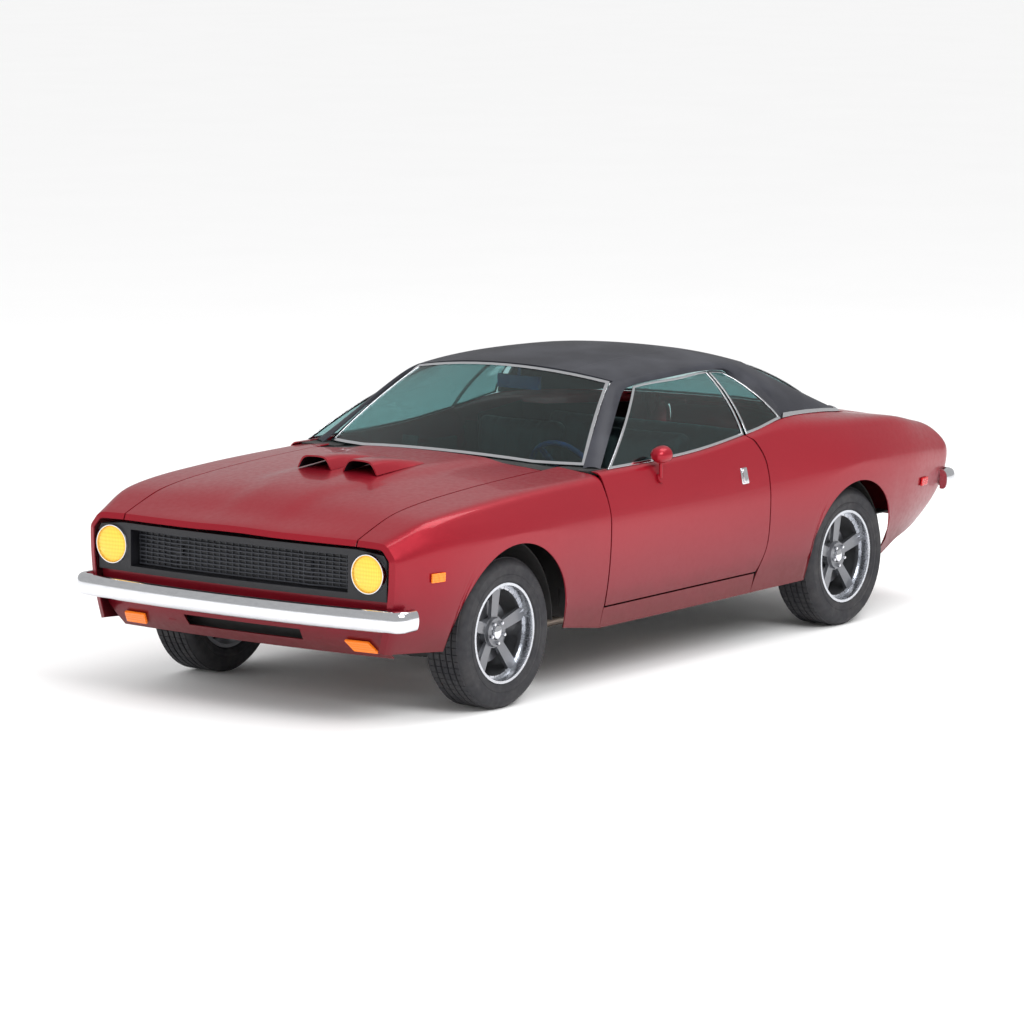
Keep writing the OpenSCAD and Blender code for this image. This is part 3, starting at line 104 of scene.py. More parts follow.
class Graph:
    """One material and its nodes."""

    def __init__(self, name: str) -> None:
        """Makes an empty material.

        Args:
            name: The material's name.
        """
        self.material = bpy.data.materials.new(name)
        self.material.use_nodes = True
        self.tree = self.material.node_tree
        self.tree.nodes.clear()

    def node(self, kind: str, settings: dict | None = None, inputs: dict | None = None) -> bpy.types.Node:
        """Adds a node, sets its settings first and then its sockets.

        Args:
            kind: The node's type.
            settings: Values of the node itself, such as a Math node's operation.
            inputs: Values or Links by socket name or number.

        Returns:
            The new node.
        """
        made = self.tree.nodes.new(kind)
        for key, value in (settings or {}).items():
            setattr(made, key, value)
        for key, value in (inputs or {}).items():
            if isinstance(value, Link):
                self.tree.links.new(value.socket, made.inputs[key])
            else:
                made.inputs[key].default_value = value
        return made

    def out(self, node: bpy.types.Node, name: str | int = 0) -> Link:
        """One output of a node as a Link."""
        return Link(self, node.outputs[name])

    def math(self, operation: str, *values: "Link | float") -> Link:
        """A Math node on one or two values."""
        return self.out(self.node("ShaderNodeMath", {"operation": operation}, dict(enumerate(values))))

    def place(self) -> Link:
        """The point on the piece, in its own coordinates."""
        return self.out(self.node("ShaderNodeTexCoord"), "Object")

    def axes(self) -> tuple[Link, Link, Link]:
        """The X, Y and Z of the point on the piece."""
        split = self.node("ShaderNodeSeparateXYZ", inputs={0: self.place()})
        return self.out(split, 0), self.out(split, 1), self.out(split, 2)

    def noise(self, scale: float, detail: float = 3.0, stretch: Sequence[float] = (1, 1, 1)) -> Link:
        """Soft noise from 0 to 1.

        Args:
            scale: How many cells a metre.
            detail: How many octaves.
            stretch: Scale along X, Y and Z.

        Returns:
            The noise's value.
        """
        point = self.out(self.node("ShaderNodeMapping", inputs={"Vector": self.place(), "Scale": stretch}))
        made = self.node("ShaderNodeTexNoise", inputs={"Vector": point, "Scale": scale, "Detail": detail})
        return self.out(made, "Fac")

    def cells(self, scale: float) -> Link:
        """Distance to the nearest of many scattered points, for grain and flakes."""
        made = self.node("ShaderNodeTexVoronoi", inputs={"Vector": self.place(), "Scale": scale})
        return self.out(made, "Distance")

    def spread(self, value: Link, low: float, high: float, to_low: float, to_high: float) -> Link:
        """The value moved from one range to another, held inside it."""
        return self.out(self.node("ShaderNodeMapRange", {"clamp": True},
                                  {0: value, 1: low, 2: high, 3: to_low, 4: to_high}))

    def blend(self, factor: "Link | float", first: "Link | Colour", second: "Link | Colour") -> Link:
        """Mix of two colours.

        Args:
            factor: 0 for the first colour, 1 for the second.
            first: The first colour.
            second: The second colour.

        Returns:
            The mixed colour.
        """
        def full(colour: "Link | Colour") -> "Link | tuple":
            """A colour with its alpha."""
            return colour if isinstance(colour, Link) else (*colour, 1.0)

        made = self.node("ShaderNodeMix", {"data_type": "RGBA"}, {0: factor, 6: full(first), 7: full(second)})
        return self.out(made, 2)

    def bump(self, height: Link, depth: float, strength: float = 1.0) -> Link:
        """Normal of a surface that rises with the height by a depth in metres."""
        made = self.node("ShaderNodeBump", inputs={"Height": height, "Distance": depth, "Strength": strength})
        return self.out(made)

    def surface(self, **sockets: "Link | float") -> bpy.types.Material:
        """Closes the material with one Principled shader.

        Args:
            **sockets: Socket names with _ for a space, and their values.

        Returns:
            The finished material.
        """
        shader = self.node("ShaderNodeBsdfPrincipled",
                           inputs={name.replace("_", " "): value for name, value in sockets.items()})
        self.node("ShaderNodeOutputMaterial", inputs={"Surface": self.out(shader)})
        return self.material


@dataclass(frozen=True)
class Paint:
    """Red body enamel under clear coat, with fine flake, faint orange peel, road dust low down and painted
    shade that darkens it towards the bottom.
    """

    colour: Colour = (0.33, 0.010, 0.022)
    # Dark colour: the dark end of the random tone, and the colour of the painted shade low on the body.
    painted_shade_and_dark_tone: Colour = (0.13, 0.004, 0.012)
    dust: Colour = (0.10, 0.030, 0.025)

    def build(self) -> bpy.types.Material:
        """Makes the material."""
        g = Graph("body_enamel")
        _, _, z = g.axes()
        tone = g.blend(g.spread(g.noise(1.4, 2), 0.3, 0.7, 0.86, 1), self.painted_shade_and_dark_tone, self.colour)
        # Painted shade: the enamel blends to the dark colour towards the bottom of the body, by height alone.
        painted_shade_low_down = g.blend(g.spread(z, 0.36, 0.80, 0.15, 1.0), self.painted_shade_and_dark_tone, tone)
        dust = g.spread(z + g.noise(9, 5) * 0.16, 0.36, 0.52, 0.42, 0.0)
        flake = g.spread(g.cells(2600), 0.1, 0.5, 0.9, 0.35)
        return g.surface(Base_Color=g.blend(dust, painted_shade_low_down, self.dust), Metallic=0.3 + flake * 0.4,
                         Roughness=g.spread(g.noise(40, 4), 0.3, 0.7, 0.30, 0.40) + dust * 0.3,
                         Coat_Weight=0.42 - dust * 0.42, Coat_Roughness=0.05, Coat_IOR=1.4,
                         Specular_IOR_Level=0.2,
                         Normal=g.bump(g.noise(420, 2), 0.00012, 0.25))


@dataclass(frozen=True)
class RoofVinyl:
    """Black grained vinyl with two sewn seams along the roof and paler worn high spots."""

    colour: Colour = (0.022, 0.023, 0.030)
    worn: Colour = (0.050, 0.052, 0.064)
    seam_y: float = 0.33

    def build(self) -> bpy.types.Material:
        """Makes the material."""
        g = Graph("roof_vinyl")
        _, y, _ = g.axes()
        grain = g.spread(g.cells(430), 0.05, 0.5, 0, 1)
        seam = g.spread(abs(abs(y) - self.seam_y), 0.003, 0.008, 1, 0)
        wear = g.spread(g.noise(3.5, 5), 0.42, 0.68, 0, 1)
        return g.surface(Base_Color=g.blend(wear * 0.7, self.colour, self.worn),
                         Roughness=g.spread(grain, 0, 1, 0.60, 0.46), Specular_IOR_Level=0.25,
                         Normal=g.bump(grain * 0.35 + seam * 1.6 + g.noise(60, 3) * 0.2, 0.0012, 0.7))


@dataclass(frozen=True)
class Plating:
    """Chrome plate with faint wiping marks."""

    colour: Colour = (0.78, 0.79, 0.82)
    name: str = "chrome_plate"
    gloss: float = 0.07

    def build(self) -> bpy.types.Material:
        """Makes the material."""
        g = Graph(self.name)
        smear = g.noise(26, 5, (1, 1, 3))
        tint = tuple(c * 0.93 for c in self.colour)
        return g.surface(Base_Color=g.blend(g.spread(smear, 0.4, 0.7, 0, 1), self.colour, tint), Metallic=1.0,
                         Roughness=g.spread(smear, 0.3, 0.75, self.gloss, self.gloss + 0.10),
                         Normal=g.bump(g.noise(90, 2), 0.0002, 0.15))


@dataclass(frozen=True)
class TintedGlass:
    """Green-blue tinted safety glass with a film of dust near its lower edge."""

    colour: Colour = (0.30, 0.50, 0.50)

    def build(self) -> bpy.types.Material:
        """Makes the material."""
        g = Graph("tinted_glass")
        _, _, z = g.axes()
        film = g.spread(z + g.noise(14, 4) * 0.06, 1.0, 1.08, 0.12, 0.01)
        return g.surface(Base_Color=g.blend(g.noise(3, 2) * 0.2, self.colour, (0.26, 0.46, 0.47)),
                         Roughness=film, Transmission_Weight=1.0, IOR=1.46)


@dataclass(frozen=True)
class Moulded:
    """Moulded plastic, rubber or painted metal with its own grain."""

    name: str
    colour: Colour
    rough: float = 0.5
    grain: float = 700.0
    depth: float = 0.0004
    metal: float = 0.0
    dusty: float = 0.25
    coat: float = 0.0

    def build(self) -> bpy.types.Material:
        """Makes the material."""
        g = Graph(self.name)
        grain = g.spread(g.cells(self.grain), 0.05, 0.5, 0, 1)
        patch = g.spread(g.noise(7, 5), 0.38, 0.7, 0, 1)
        pale = tuple(min(c * 1.5 + 0.012, 1) for c in self.colour)
        return g.surface(Base_Color=g.blend(patch * self.dusty, self.colour, pale), Metallic=self.metal,
                         Roughness=g.spread(patch, 0, 1, self.rough - 0.06, self.rough + 0.08),
                         Coat_Weight=self.coat,
                         Normal=g.bump(grain + g.noise(30, 3), self.depth, 0.5))


@dataclass(frozen=True)
class Lens:
    """Moulded lamp lens with pressed ribs, faintly glowing from behind, with painted shade in the grooves
    between the ribs.
    """

    name: str
    colour: Colour
    glow: float
    ribs: float = 90.0

    def build(self) -> bpy.types.Material:
        """Makes the material."""
        g = Graph(self.name)
        _, y, z = g.axes()
        across = abs(g.math("SINE", y * (self.ribs * math.pi * 2)))
        rib = across + 0.6 * abs(g.math("SINE", z * (self.ribs * math.pi)))
        # Painted shade: the lens colour and its glow are darker where the ribs' bump is lowest, in the
        # grooves.
        rib_groove_shade = tuple(c * 0.72 for c in self.colour)
        tone = g.blend(g.spread(rib, 0, 1.2, 0, 1), rib_groove_shade, self.colour)
        return g.surface(Base_Color=tone, Roughness=g.spread(rib, 0, 1.4, 0.16, 0.28), Emission_Color=tone,
                         Emission_Strength=self.glow, Coat_Weight=0.25, Coat_Roughness=0.04,
                         Specular_IOR_Level=0.3,
                         Normal=g.bump(rib, 0.0014, 0.6))


@dataclass(frozen=True)
class SeatVinyl:
    """Black seat vinyl with pebble grain and a row of stitches beside every channel."""

    colour: Colour = (0.020, 0.021, 0.027)
    channel: float = 0.055

    def build(self) -> bpy.types.Material:
        """Makes the material."""
        g = Graph("seat_vinyl")
        x, y, _ = g.axes()
        pebble = g.spread(g.cells(620), 0.05, 0.5, 0, 1)
        across = abs(g.math("SINE", y * (math.pi / self.channel)))
        stitch = g.spread(across, 0.02, 0.05, 1, 0) * g.spread(g.math("SINE", x * 900.0), -0.2, 0.2, 0, 1)
        tone = g.blend(g.spread(g.noise(6, 4), 0.4, 0.7, 0, 0.6), self.colour, (0.045, 0.046, 0.055))
        return g.surface(Base_Color=g.blend(stitch * 0.5, tone, (0.12, 0.12, 0.13)),
                         Roughness=g.spread(pebble, 0, 1, 0.5, 0.38),
                         Normal=g.bump(pebble * 0.4 + stitch, 0.0008, 0.6))


@dataclass(frozen=True)
class TyreRubber:
    """Black tyre rubber, greyer and dustier where it meets the road."""

    colour: Colour = (0.016, 0.016, 0.020)

    def build(self) -> bpy.types.Material:
        """Makes the material."""
        g = Graph("tyre_rubber")
        dust = g.spread(g.noise(11, 6), 0.4, 0.72, 0, 0.55)
        return g.surface(Base_Color=g.blend(dust, self.colour, (0.045, 0.042, 0.042)),
                         Roughness=g.spread(g.noise(35, 4), 0.3, 0.7, 0.62, 0.82),
                         Normal=g.bump(g.noise(380, 3) + g.noise(40, 2), 0.0006, 0.4))


class Finishes:
    """Every finish of the car, made once."""

    def __init__(self) -> None:
        """Makes the materials."""
        self.paint = Paint().build()
        self.vinyl = RoofVinyl().build()
        self.chrome = Plating().build()
        self.lip = Plating((0.60, 0.62, 0.66), "rim_lip", 0.22).build()
        self.glass = TintedGlass().build()
        self.lens = Lens("headlamp_lens", (0.92, 0.50, 0.06), 0.35, 60).build()
        self.amber = Lens("amber_lens", (0.90, 0.19, 0.012), 0.30).build()
        self.red = Lens("red_lens", (0.42, 0.003, 0.006), 0.35).build()
        self.blue = Moulded("blue_plastic", (0.030, 0.075, 0.30), 0.32, 500, 0.0003, coat=0.4).build()
        self.black = Moulded("black_plastic", (0.010, 0.010, 0.013), 0.42).build()
        self.grey = Moulded("dash_plastic", (0.036, 0.039, 0.048), 0.50).build()
        self.steel = Moulded("underbody_steel", (0.030, 0.029, 0.029), 0.6, 160, 0.0008, 0.3, 0.8).build()
        self.iron = Moulded("engine_enamel", (0.20, 0.055, 0.022), 0.45, 220, 0.0010, 0.2, 0.5, 0.3).build()
        self.pipe = Moulded("exhaust_steel", (0.20, 0.165, 0.135), 0.42, 240, 0.0005, 0.9, 0.9).build()
        self.rim = Moulded("rim_enamel", (0.17, 0.175, 0.19), 0.34, 420, 0.0003, 0.75, 0.3, 0.4).build()
        self.seat = SeatVinyl().build()
        self.tyre = TyreRubber().build()
        self.plate = Moulded("plate_blank", (0.62, 0.61, 0.55), 0.4, 300, 0.0003, 0.1).build()
        self.mirror = Plating((0.86, 0.87, 0.88), "mirror_silver", 0.02).build()


# ---------------------------------------------------------------- mesh work
class Shape:
    """A mesh being worked on, with the operators a maker uses."""

    def __init__(self) -> None:
        """Starts empty."""
        self.bm = bmesh.new()

    @classmethod
    def of_node(cls, node: str, join: float = 24.0) -> "Shape":
        """A copy of a CAD node's mesh with its corners merged and its triangles paired.

        Args:
            node: The CAD node.
            join: Largest angle between two triangles that make one face, in degrees.

        Returns:
            The shape.
        """
        shape = cls()
        shape.bm.from_mesh(frame["nodes"][node].data)
        bmesh.ops.remove_doubles(shape.bm, verts=shape.bm.verts, dist=0.00002)
        bmesh.ops.join_triangles(shape.bm, faces=shape.bm.faces, angle_face_threshold=math.radians(join),
                                 angle_shape_threshold=math.radians(60))
        return shape

    def block(self, low: Sequence[float], high: Sequence[float], round_by: float = 0.0,
              segments: int = 3) -> list:
        """Adds a box between two corners, with rounded edges.

        Args:
            low: Lowest corner.
            high: Highest corner.
            round_by: Width of the rounding.
            segments: Steps of the rounding.

        Returns:
            Its vertices.
        """
        low, high = Vector(low), Vector(high)
        verts = bmesh.ops.create_cube(self.bm, size=1.0)["verts"]
        bmesh.ops.scale(self.bm, verts=verts, vec=high - low)
        bmesh.ops.translate(self.bm, verts=verts, vec=(low + high) / 2)
        if round_by:
            edges = list({e for v in verts for e in v.link_edges})
            made = bmesh.ops.bevel(self.bm, geom=edges, offset=round_by, segments=segments, profile=0.5,
                                   affect="EDGES", material=-1)
            verts = list({v for v in verts if v.is_valid} | set(made["verts"]))
        return verts

    def disc(self, centre: Sequence[float], axis: Sequence[float], profile: Iterable[Sequence[float]],
             steps: int = 48) -> list:
        """Adds a turned shape.

        Args:
            centre: A point on its axis.
            axis: Direction of its axis.
            profile: Points as (radius, distance along the axis).
            steps: Steps round the turn.

        Returns:
            Its vertices.
        """
        centre, axis = Vector(centre), Vector(axis).normalized()
        out = axis.orthogonal().normalized()
        line = [self.bm.verts.new(centre + out * r + axis * d) for r, d in profile]
        edges = [self.bm.edges.new(pair) for pair in zip(line, line[1:])]
        before = set(self.bm.verts) - set(line)
        bmesh.ops.spin(self.bm, geom=line + edges, cent=centre, axis=axis, angle=math.tau, steps=steps,
                       use_merge=True, use_duplicate=False)
        made = [v for v in self.bm.verts if v not in before]
        bmesh.ops.remove_doubles(self.bm, verts=made, dist=0.00005)
        made = [v for v in self.bm.verts if v not in before]
        bmesh.ops.recalc_face_normals(self.bm, faces=list({f for v in made for f in v.link_faces}))
        return made

    def tube(self, path: Sequence[Vector], radius: float, sides: int = 10) -> list:
        """Adds a bar of round section along a path.

        Args:
            path: Its middle line.
            radius: Half its width.
            sides: Corners of its section.

        Returns:
            Its vertices.
        """
        rings, made = [], []
        for k, point in enumerate(path):
            run = (path[min(k + 1, len(path) - 1)] - path[max(k - 1, 0)]).normalized()
            turn = Matrix.Identity(4)
            side = run.cross(Vector((0, 0, 1))).normalized()
            up = side.cross(run).normalized()
            turn.col[0], turn.col[1], turn.col[2] = (*side, 0), (*up, 0), (*run, 0)
            turn.translation = point
            ring = bmesh.ops.create_circle(self.bm, segments=sides, radius=radius, matrix=turn)["verts"]
            rings.append([e for v in ring for e in v.link_edges])
            made += ring
        for a, b in zip(rings, rings[1:]):
            bmesh.ops.bridge_loops(self.bm, edges=list(set(a) | set(b)))
        for end in (rings[0], rings[-1]):
            bmesh.ops.contextual_create(self.bm, geom=list(set(end)))
        bmesh.ops.recalc_face_normals(self.bm, faces=list({f for v in made for f in v.link_faces}))
        return made

    def fit(self, verts: list, spot: Vector, normal: Vector) -> None:
        """Moves a flat fitting's vertices onto a surface, with its Z along the normal."""
        place = Matrix.Translation(spot) @ normal.to_track_quat("Z", "Y").to_matrix().to_4x4()
        bmesh.ops.transform(self.bm, matrix=place, verts=[v for v in verts if v.is_valid])

    def outer_skin(self, towards: Callable[[Vector], Vector]) -> list:
        """The faces of a thin sheet's outer side.

        Args:
            towards: Outward direction at a point.

        Returns:
            The faces.
        """
        found: set = set()
        for seed in sorted(self.bm.faces, key=lambda f: -f.calc_area()):
            centre = seed.calc_center_median()
            if seed in found or seed.calc_area() < 0.0012 or seed.normal.dot(towards(centre)) < 0.3:
                continue
            stack = [seed]
            while stack:
                face = stack.pop()
                if face in found:
                    continue
                found.add(face)
                for edge in face.edges:
                    if len(edge.link_faces) == 2 and edge.calc_face_angle() < math.radians(38):
                        stack += [f for f in edge.link_faces if f not in found]
        return list(found)

    def border(self, faces: list, width: float, thickness: float) -> None:
        """Keeps only a band round the faces' edge and gives it thickness.

        Args:
            faces: The faces whose edge the band follows.
            width: Width of the band.
            thickness: Its thickness, outwards.
        """
        keep = set(faces)
        bmesh.ops.delete(self.bm, geom=[f for f in self.bm.faces if f not in keep], context="FACES")
        band = set(bmesh.ops.inset_region(self.bm, faces=list(keep), thickness=width, depth=0.0,
                                          use_boundary=True, use_even_offset=True)["faces"])
        bmesh.ops.delete(self.bm, geom=[f for f in self.bm.faces if f not in band], context="FACES")
        bmesh.ops.solidify(self.bm, geom=list(self.bm.faces), thickness=-thickness)

    def piece(self, name: str, body: str, finish: "bpy.types.Material | list", slot: str,
              replaces: Sequence[str] = (), levels: int = 0, crease: float = 35.0, bevel: float = 0.0,
              sharp: float = 40.0) -> bpy.types.Object:
        """Turns the mesh into a finished piece that rides on a body.

        Args:
            name: The piece's name.
            body: The CAD body that it moves with.
            finish: Its material or materials.
            slot: The record's material slot; not used.
            replaces: CAD nodes it stands for.
            levels: Subdivision levels.
            crease: Edges sharper than this keep their corner under subdivision, in degrees.
            bevel: Width of a rounding on the edges.
            sharp: Edges sharper than this are drawn sharp, in degrees.

        Returns:
            The object.
        """
        if levels:
            layers = self.bm.edges.layers.float
            layer = layers.get("crease_edge") or layers.new("crease_edge")
            for edge in self.bm.edges:
                if len(edge.link_faces) != 2 or edge.calc_face_angle() > math.radians(crease):
                    edge[layer] = 1.0
        for face in self.bm.faces:
            face.smooth = True
        for edge in self.bm.edges:
            edge.smooth = len(edge.link_faces) == 2 and edge.calc_face_angle() < math.radians(sharp)
        mesh = bpy.data.meshes.new(name)
        self.bm.to_mesh(mesh)
        self.bm.free()
        made = bpy.data.objects.new(name, mesh)
        bpy.context.scene.collection.objects.link(made)
        for material in finish if isinstance(finish, list) else [finish]:
            mesh.materials.append(material)
        if bevel:
            rounding = made.modifiers.new("rounding", "BEVEL")
            rounding.width, rounding.segments, rounding.limit_method = bevel, 2, "ANGLE"
            rounding.angle_limit = math.radians(sharp)
        if levels:
            smoothed(made, levels)
        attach(made, body)
        if replaces:
            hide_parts(*replaces)
        LOG.info("%s: %d faces on %s", name, len(mesh.polygons), body)
        return made


def surface_of(node: str) -> BVHTree:
    """Tree for finding points on a CAD node's surface."""
    data = frame["nodes"][node].data
    return BVHTree.FromPolygons([v.co for v in data.vertices], [tuple(p.vertices) for p in data.polygons])


def dressed(node: str, name: str, finish: "bpy.types.Material | list", slot: str, join: float = 24.0,
            **rounding: float) -> None:
    """Makes the piece that stands for a CAD node from the node's own mesh."""
    Shape.of_node(node, join).piece(name, BODY_OF[node], finish, slot, [node], **rounding)


def smoothed(made: bpy.types.Object, levels: int) -> None:
    """Adds a number of subdivision levels to a piece."""
    smoothing = made.modifiers.new("smoothing", "SUBSURF")
    smoothing.levels = smoothing.render_levels = levels


def outwards(point: Vector) -> Vector:
    """Direction away from the middle of the cabin at a point."""
    return (point - Vector((-0.35, 0, 0.85))).normalized()


# ---------------------------------------------------------------- the car
@dataclass
class Shell:
    """Painted panels and the vinyl roof, as smooth sheets."""

    finishes: Finishes
    edge: float = 35.0
    scoop_y: float = 0.125
    scoop_z: float = 0.955
    lid_gap: float = 0.011
    lid_step: float = 0.012
    foot_band: float = 0.020
    foot_rise: float = 0.005
    foot_height: float = 1.055
    foot_y: float = 0.63

    def build(self) -> None:
        """Makes each panel from its CAD node."""
        rounder = {"hood_scoops": 50, "door_mirror": 60}
        for node in ("front_fenders", "quarter_panels", "rocker_panels", "hood", "hood_scoops", "trunk_lid",
                     "front_valance", "rear_deck_panel", "door_left", "door_right", "door_mirror"):
            shape = Shape.of_node(node)
            if node == "hood_scoops":
                # Painted shade: the faces inside the scoops take the black finish, standing for the shade in
                # their mouths.
                for face in shape.bm.faces:
                    mid = face.calc_center_median()
                    away = Vector((0, mid.y - math.copysign(self.scoop_y, mid.y), mid.z - self.scoop_z))
                    face.material_index = int(face.normal.dot(away) < 0 and abs(face.normal.x) < 0.8)
            shape.piece(f"{node}_panel", BODY_OF[node], [self.finishes.paint, self.finishes.black],
                        "body_paint", [node], levels=2, crease=rounder.get(node, self.edge))
        dressed("roof", "roof_cover", self.finishes.vinyl, "vinyl", levels=2, crease=self.edge)
        self.roof_foot()
        self.tail()

    def roof_foot(self) -> None:
        """Bright moulding where the vinyl ends above the rear quarters."""
        shape = Shape.of_node("roof")
        shape.border(shape.outer_skin(outwards), self.foot_band, self.foot_rise)
        window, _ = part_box("quarter_windows")
        mids = {f: f.calc_center_median() for f in shape.bm.faces}
        stray = [f for f, mid in mids.items()
                 if mid.z > self.foot_height or abs(mid.y) < self.foot_y or mid.x > window.x]
        bmesh.ops.delete(shape.bm, geom=stray, context="FACES")
        shape.piece("roof_foot_moulding", "body", self.finishes.chrome, "chrome", bevel=0.0012)

    def tail(self) -> None:
        """Tail panel whose top edge is carried up to the trunk lid's back edge."""
        tree = surface_of("trunk_lid")
        low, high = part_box("trunk_lid")
        shape = Shape.of_node("tail_panel")
        _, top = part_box("tail_panel")
        rim = [f for f in shape.bm.faces if all(v.co.z > top.z - 0.006 for v in f.verts) and f.normal.z > 0.2]
        half = max(abs(v.co.y) for f in rim for v in f.verts)
        made = bmesh.ops.extrude_face_region(shape.bm, geom=rim)["geom"]
        bmesh.ops.delete(shape.bm, geom=rim, context="FACES")
        raised = [v for v in made if isinstance(v, bmesh.types.BMVert)]
        places = [v.co.copy() for v in raised]
        for vert, place in zip(raised, places):
            across = place.y * (high.y - 0.001) / half
            crown = tree.ray_cast(Vector((low.x + 0.045, across, 2.0)), Vector((0, 0, -1)))[0].z
            back = tree.ray_cast(Vector((-3.0, across, crown - 0.018)), Vector((1, 0, 0)))[0].x
            outer = min((p for p in places if abs(p.y - place.y) < 0.004), key=lambda p: p.x)
            rise = crown - self.lid_step - outer.z
            vert.co = place + Vector((back - self.lid_gap - outer.x, across - place.y, rise))
        bmesh.ops.recalc_face_normals(shape.bm, faces=shape.bm.faces)
        shape.piece("tail_panel_skin", "body", self.finishes.paint, "body_paint", ["tail_panel"], levels=2,
                    crease=self.edge)


@dataclass
class Glazing:
    """Window glass with bright mouldings round it."""

    finishes: Finishes
    screen_band: float = 0.017
    side_band: float = 0.012
    band_rise: float = 0.004

    def build(self) -> None:
        """Makes the glass and its mouldings."""
        bands = {"windshield": self.screen_band, "rear_window": self.screen_band,
                 "quarter_windows": self.side_band, "door_glass_left": self.side_band,
                 "door_glass_right": self.side_band}
        for node, band in bands.items():
            dressed(node, f"{node}_pane", self.finishes.glass, "window_glass", levels=1)
            shape = Shape.of_node(node)
            shape.border(shape.outer_skin(outwards), band, self.band_rise)
            shape.piece(f"{node}_moulding", BODY_OF[node], self.finishes.chrome, "chrome", bevel=0.0012)


@dataclass
class Bumpers:
    """Chrome bumpers with their bolts and the blank rear plate."""

    finishes: Finishes
    plate_back: float = 0.0245
    plate_thick: float = 0.003
    plate_half: float = 0.150
    plate_foot: float = 0.455
    plate_top: float = 0.607
    bolt_y: float = 0.089
    bolt_z: float = 0.528

    def build(self) -> None:
        """Makes the bumpers and the plate."""
        for node in ("front_bumper", "rear_bumper"):
            dressed(node, f"{node}_bar", self.finishes.chrome, "chrome", levels=2, crease=62)
        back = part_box("rear_bumper")[0].x + self.plate_back
        plate = Shape()
        plate.block((back, -self.plate_half, self.plate_foot),
                    (back + self.plate_thick, self.plate_half, self.plate_top), 0.0012, 2)
        plate.piece("number_plate", "body", self.finishes.plate, "chrome")
        bolts = Shape()
        head = [(0, 0.004), (0.005, 0.0035), (0.0065, 0.0015), (0.0065, 0.0)]
        for y in (-self.bolt_y, self.bolt_y):
            bolts.disc((back, y, self.bolt_z), (-1, 0, 0), head, 16)
        bolts.piece("plate_bolts", "body", self.finishes.lip, "chrome")


@dataclass
class Face:
    """Grille, headlamps and signal lamps."""

    finishes: Finishes
    recess_half: float = 0.585
    recess_rim: float = 0.035
    bars: int = 9
    bar_radius: float = 0.0035
    posts: int = 34
    lamp_sink: float = 0.012

    def build(self) -> None:
        """Makes the pieces of the car's face."""
        materials = frame["nodes"]["grille_panel"].data.materials
        materials.clear()
        materials.append(self.finishes.black)
        self.grille()
        self.headlamps()
        for node, finish, slot in (("amber_lamps", self.finishes.amber, "amber_lens"),
                                   ("red_lamps", self.finishes.red, "red_lens")):
            dressed(node, f"{node}_lenses", finish, slot, bevel=0.003, sharp=50)

    def grille(self) -> None:
        """Fine bars across the grille's recess."""
        low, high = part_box("grille_panel")
        tree = surface_of("grille_panel")
        shape = Shape()

        def depth(y: float, z: float) -> float:
            """X of the recess at a height and a distance from the middle."""
            hit = tree.ray_cast(Vector((3.0, y, z)), Vector((-1, 0, 0)))[0]
            return hit.x if hit else low.x

        z0, z1 = low.z + self.recess_rim, high.z - self.recess_rim
        for k in range(self.bars):
            z = z0 + (z1 - z0) * k / (self.bars - 1)
            path = [Vector((depth(y, (z0 + z1) / 2) + 0.008, y, z))
                    for y in [self.recess_half * (s / 8 - 1) for s in range(17)]]
            shape.tube(path, self.bar_radius, 6)
        for k in range(self.posts):
            y = self.recess_half * (2 * k / (self.posts - 1) - 1)
            x = depth(y, (z0 + z1) / 2) + 0.005
            shape.block((x - 0.002, y - 0.0015, z0), (x + 0.002, y + 0.0015, z1))
        shape.piece("grille_bars", "body", self.finishes.grey, "dark_plastic")

    def headlamps(self) -> None:
        """Domed lenses in bright rings."""
        low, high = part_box("headlamps")
        radius = (high.z - low.z) / 2
        lens, ring = Shape(), Shape()
        for side in Side:
            centre = (high.x - self.lamp_sink, side.value * (high.y - radius), (low.z + high.z) / 2)
            dome = [(radius * 0.93 * math.sin(a * math.pi / 12), 0.014 * math.cos(a * math.pi / 12) - 0.004)
                    for a in range(7)]
            lens.disc(centre, (1, 0, 0), [*dome, (radius * 0.93, -0.03), (0, -0.03)], 64)
            section = [(0.92, -0.028), (0.92, 0.0), (0.95, 0.008), (0.99, 0.008), (1.02, 0.0), (1.02, -0.028)]
            ring.disc(centre, (1, 0, 0), [(radius * r, d) for r, d in [*section, section[0]]], 64)
        lens.piece("headlamp_lenses", "body", self.finishes.lens, "lamp_glass", ["headlamps"])
        ring.piece("headlamp_rings", "body", self.finishes.chrome, "chrome")


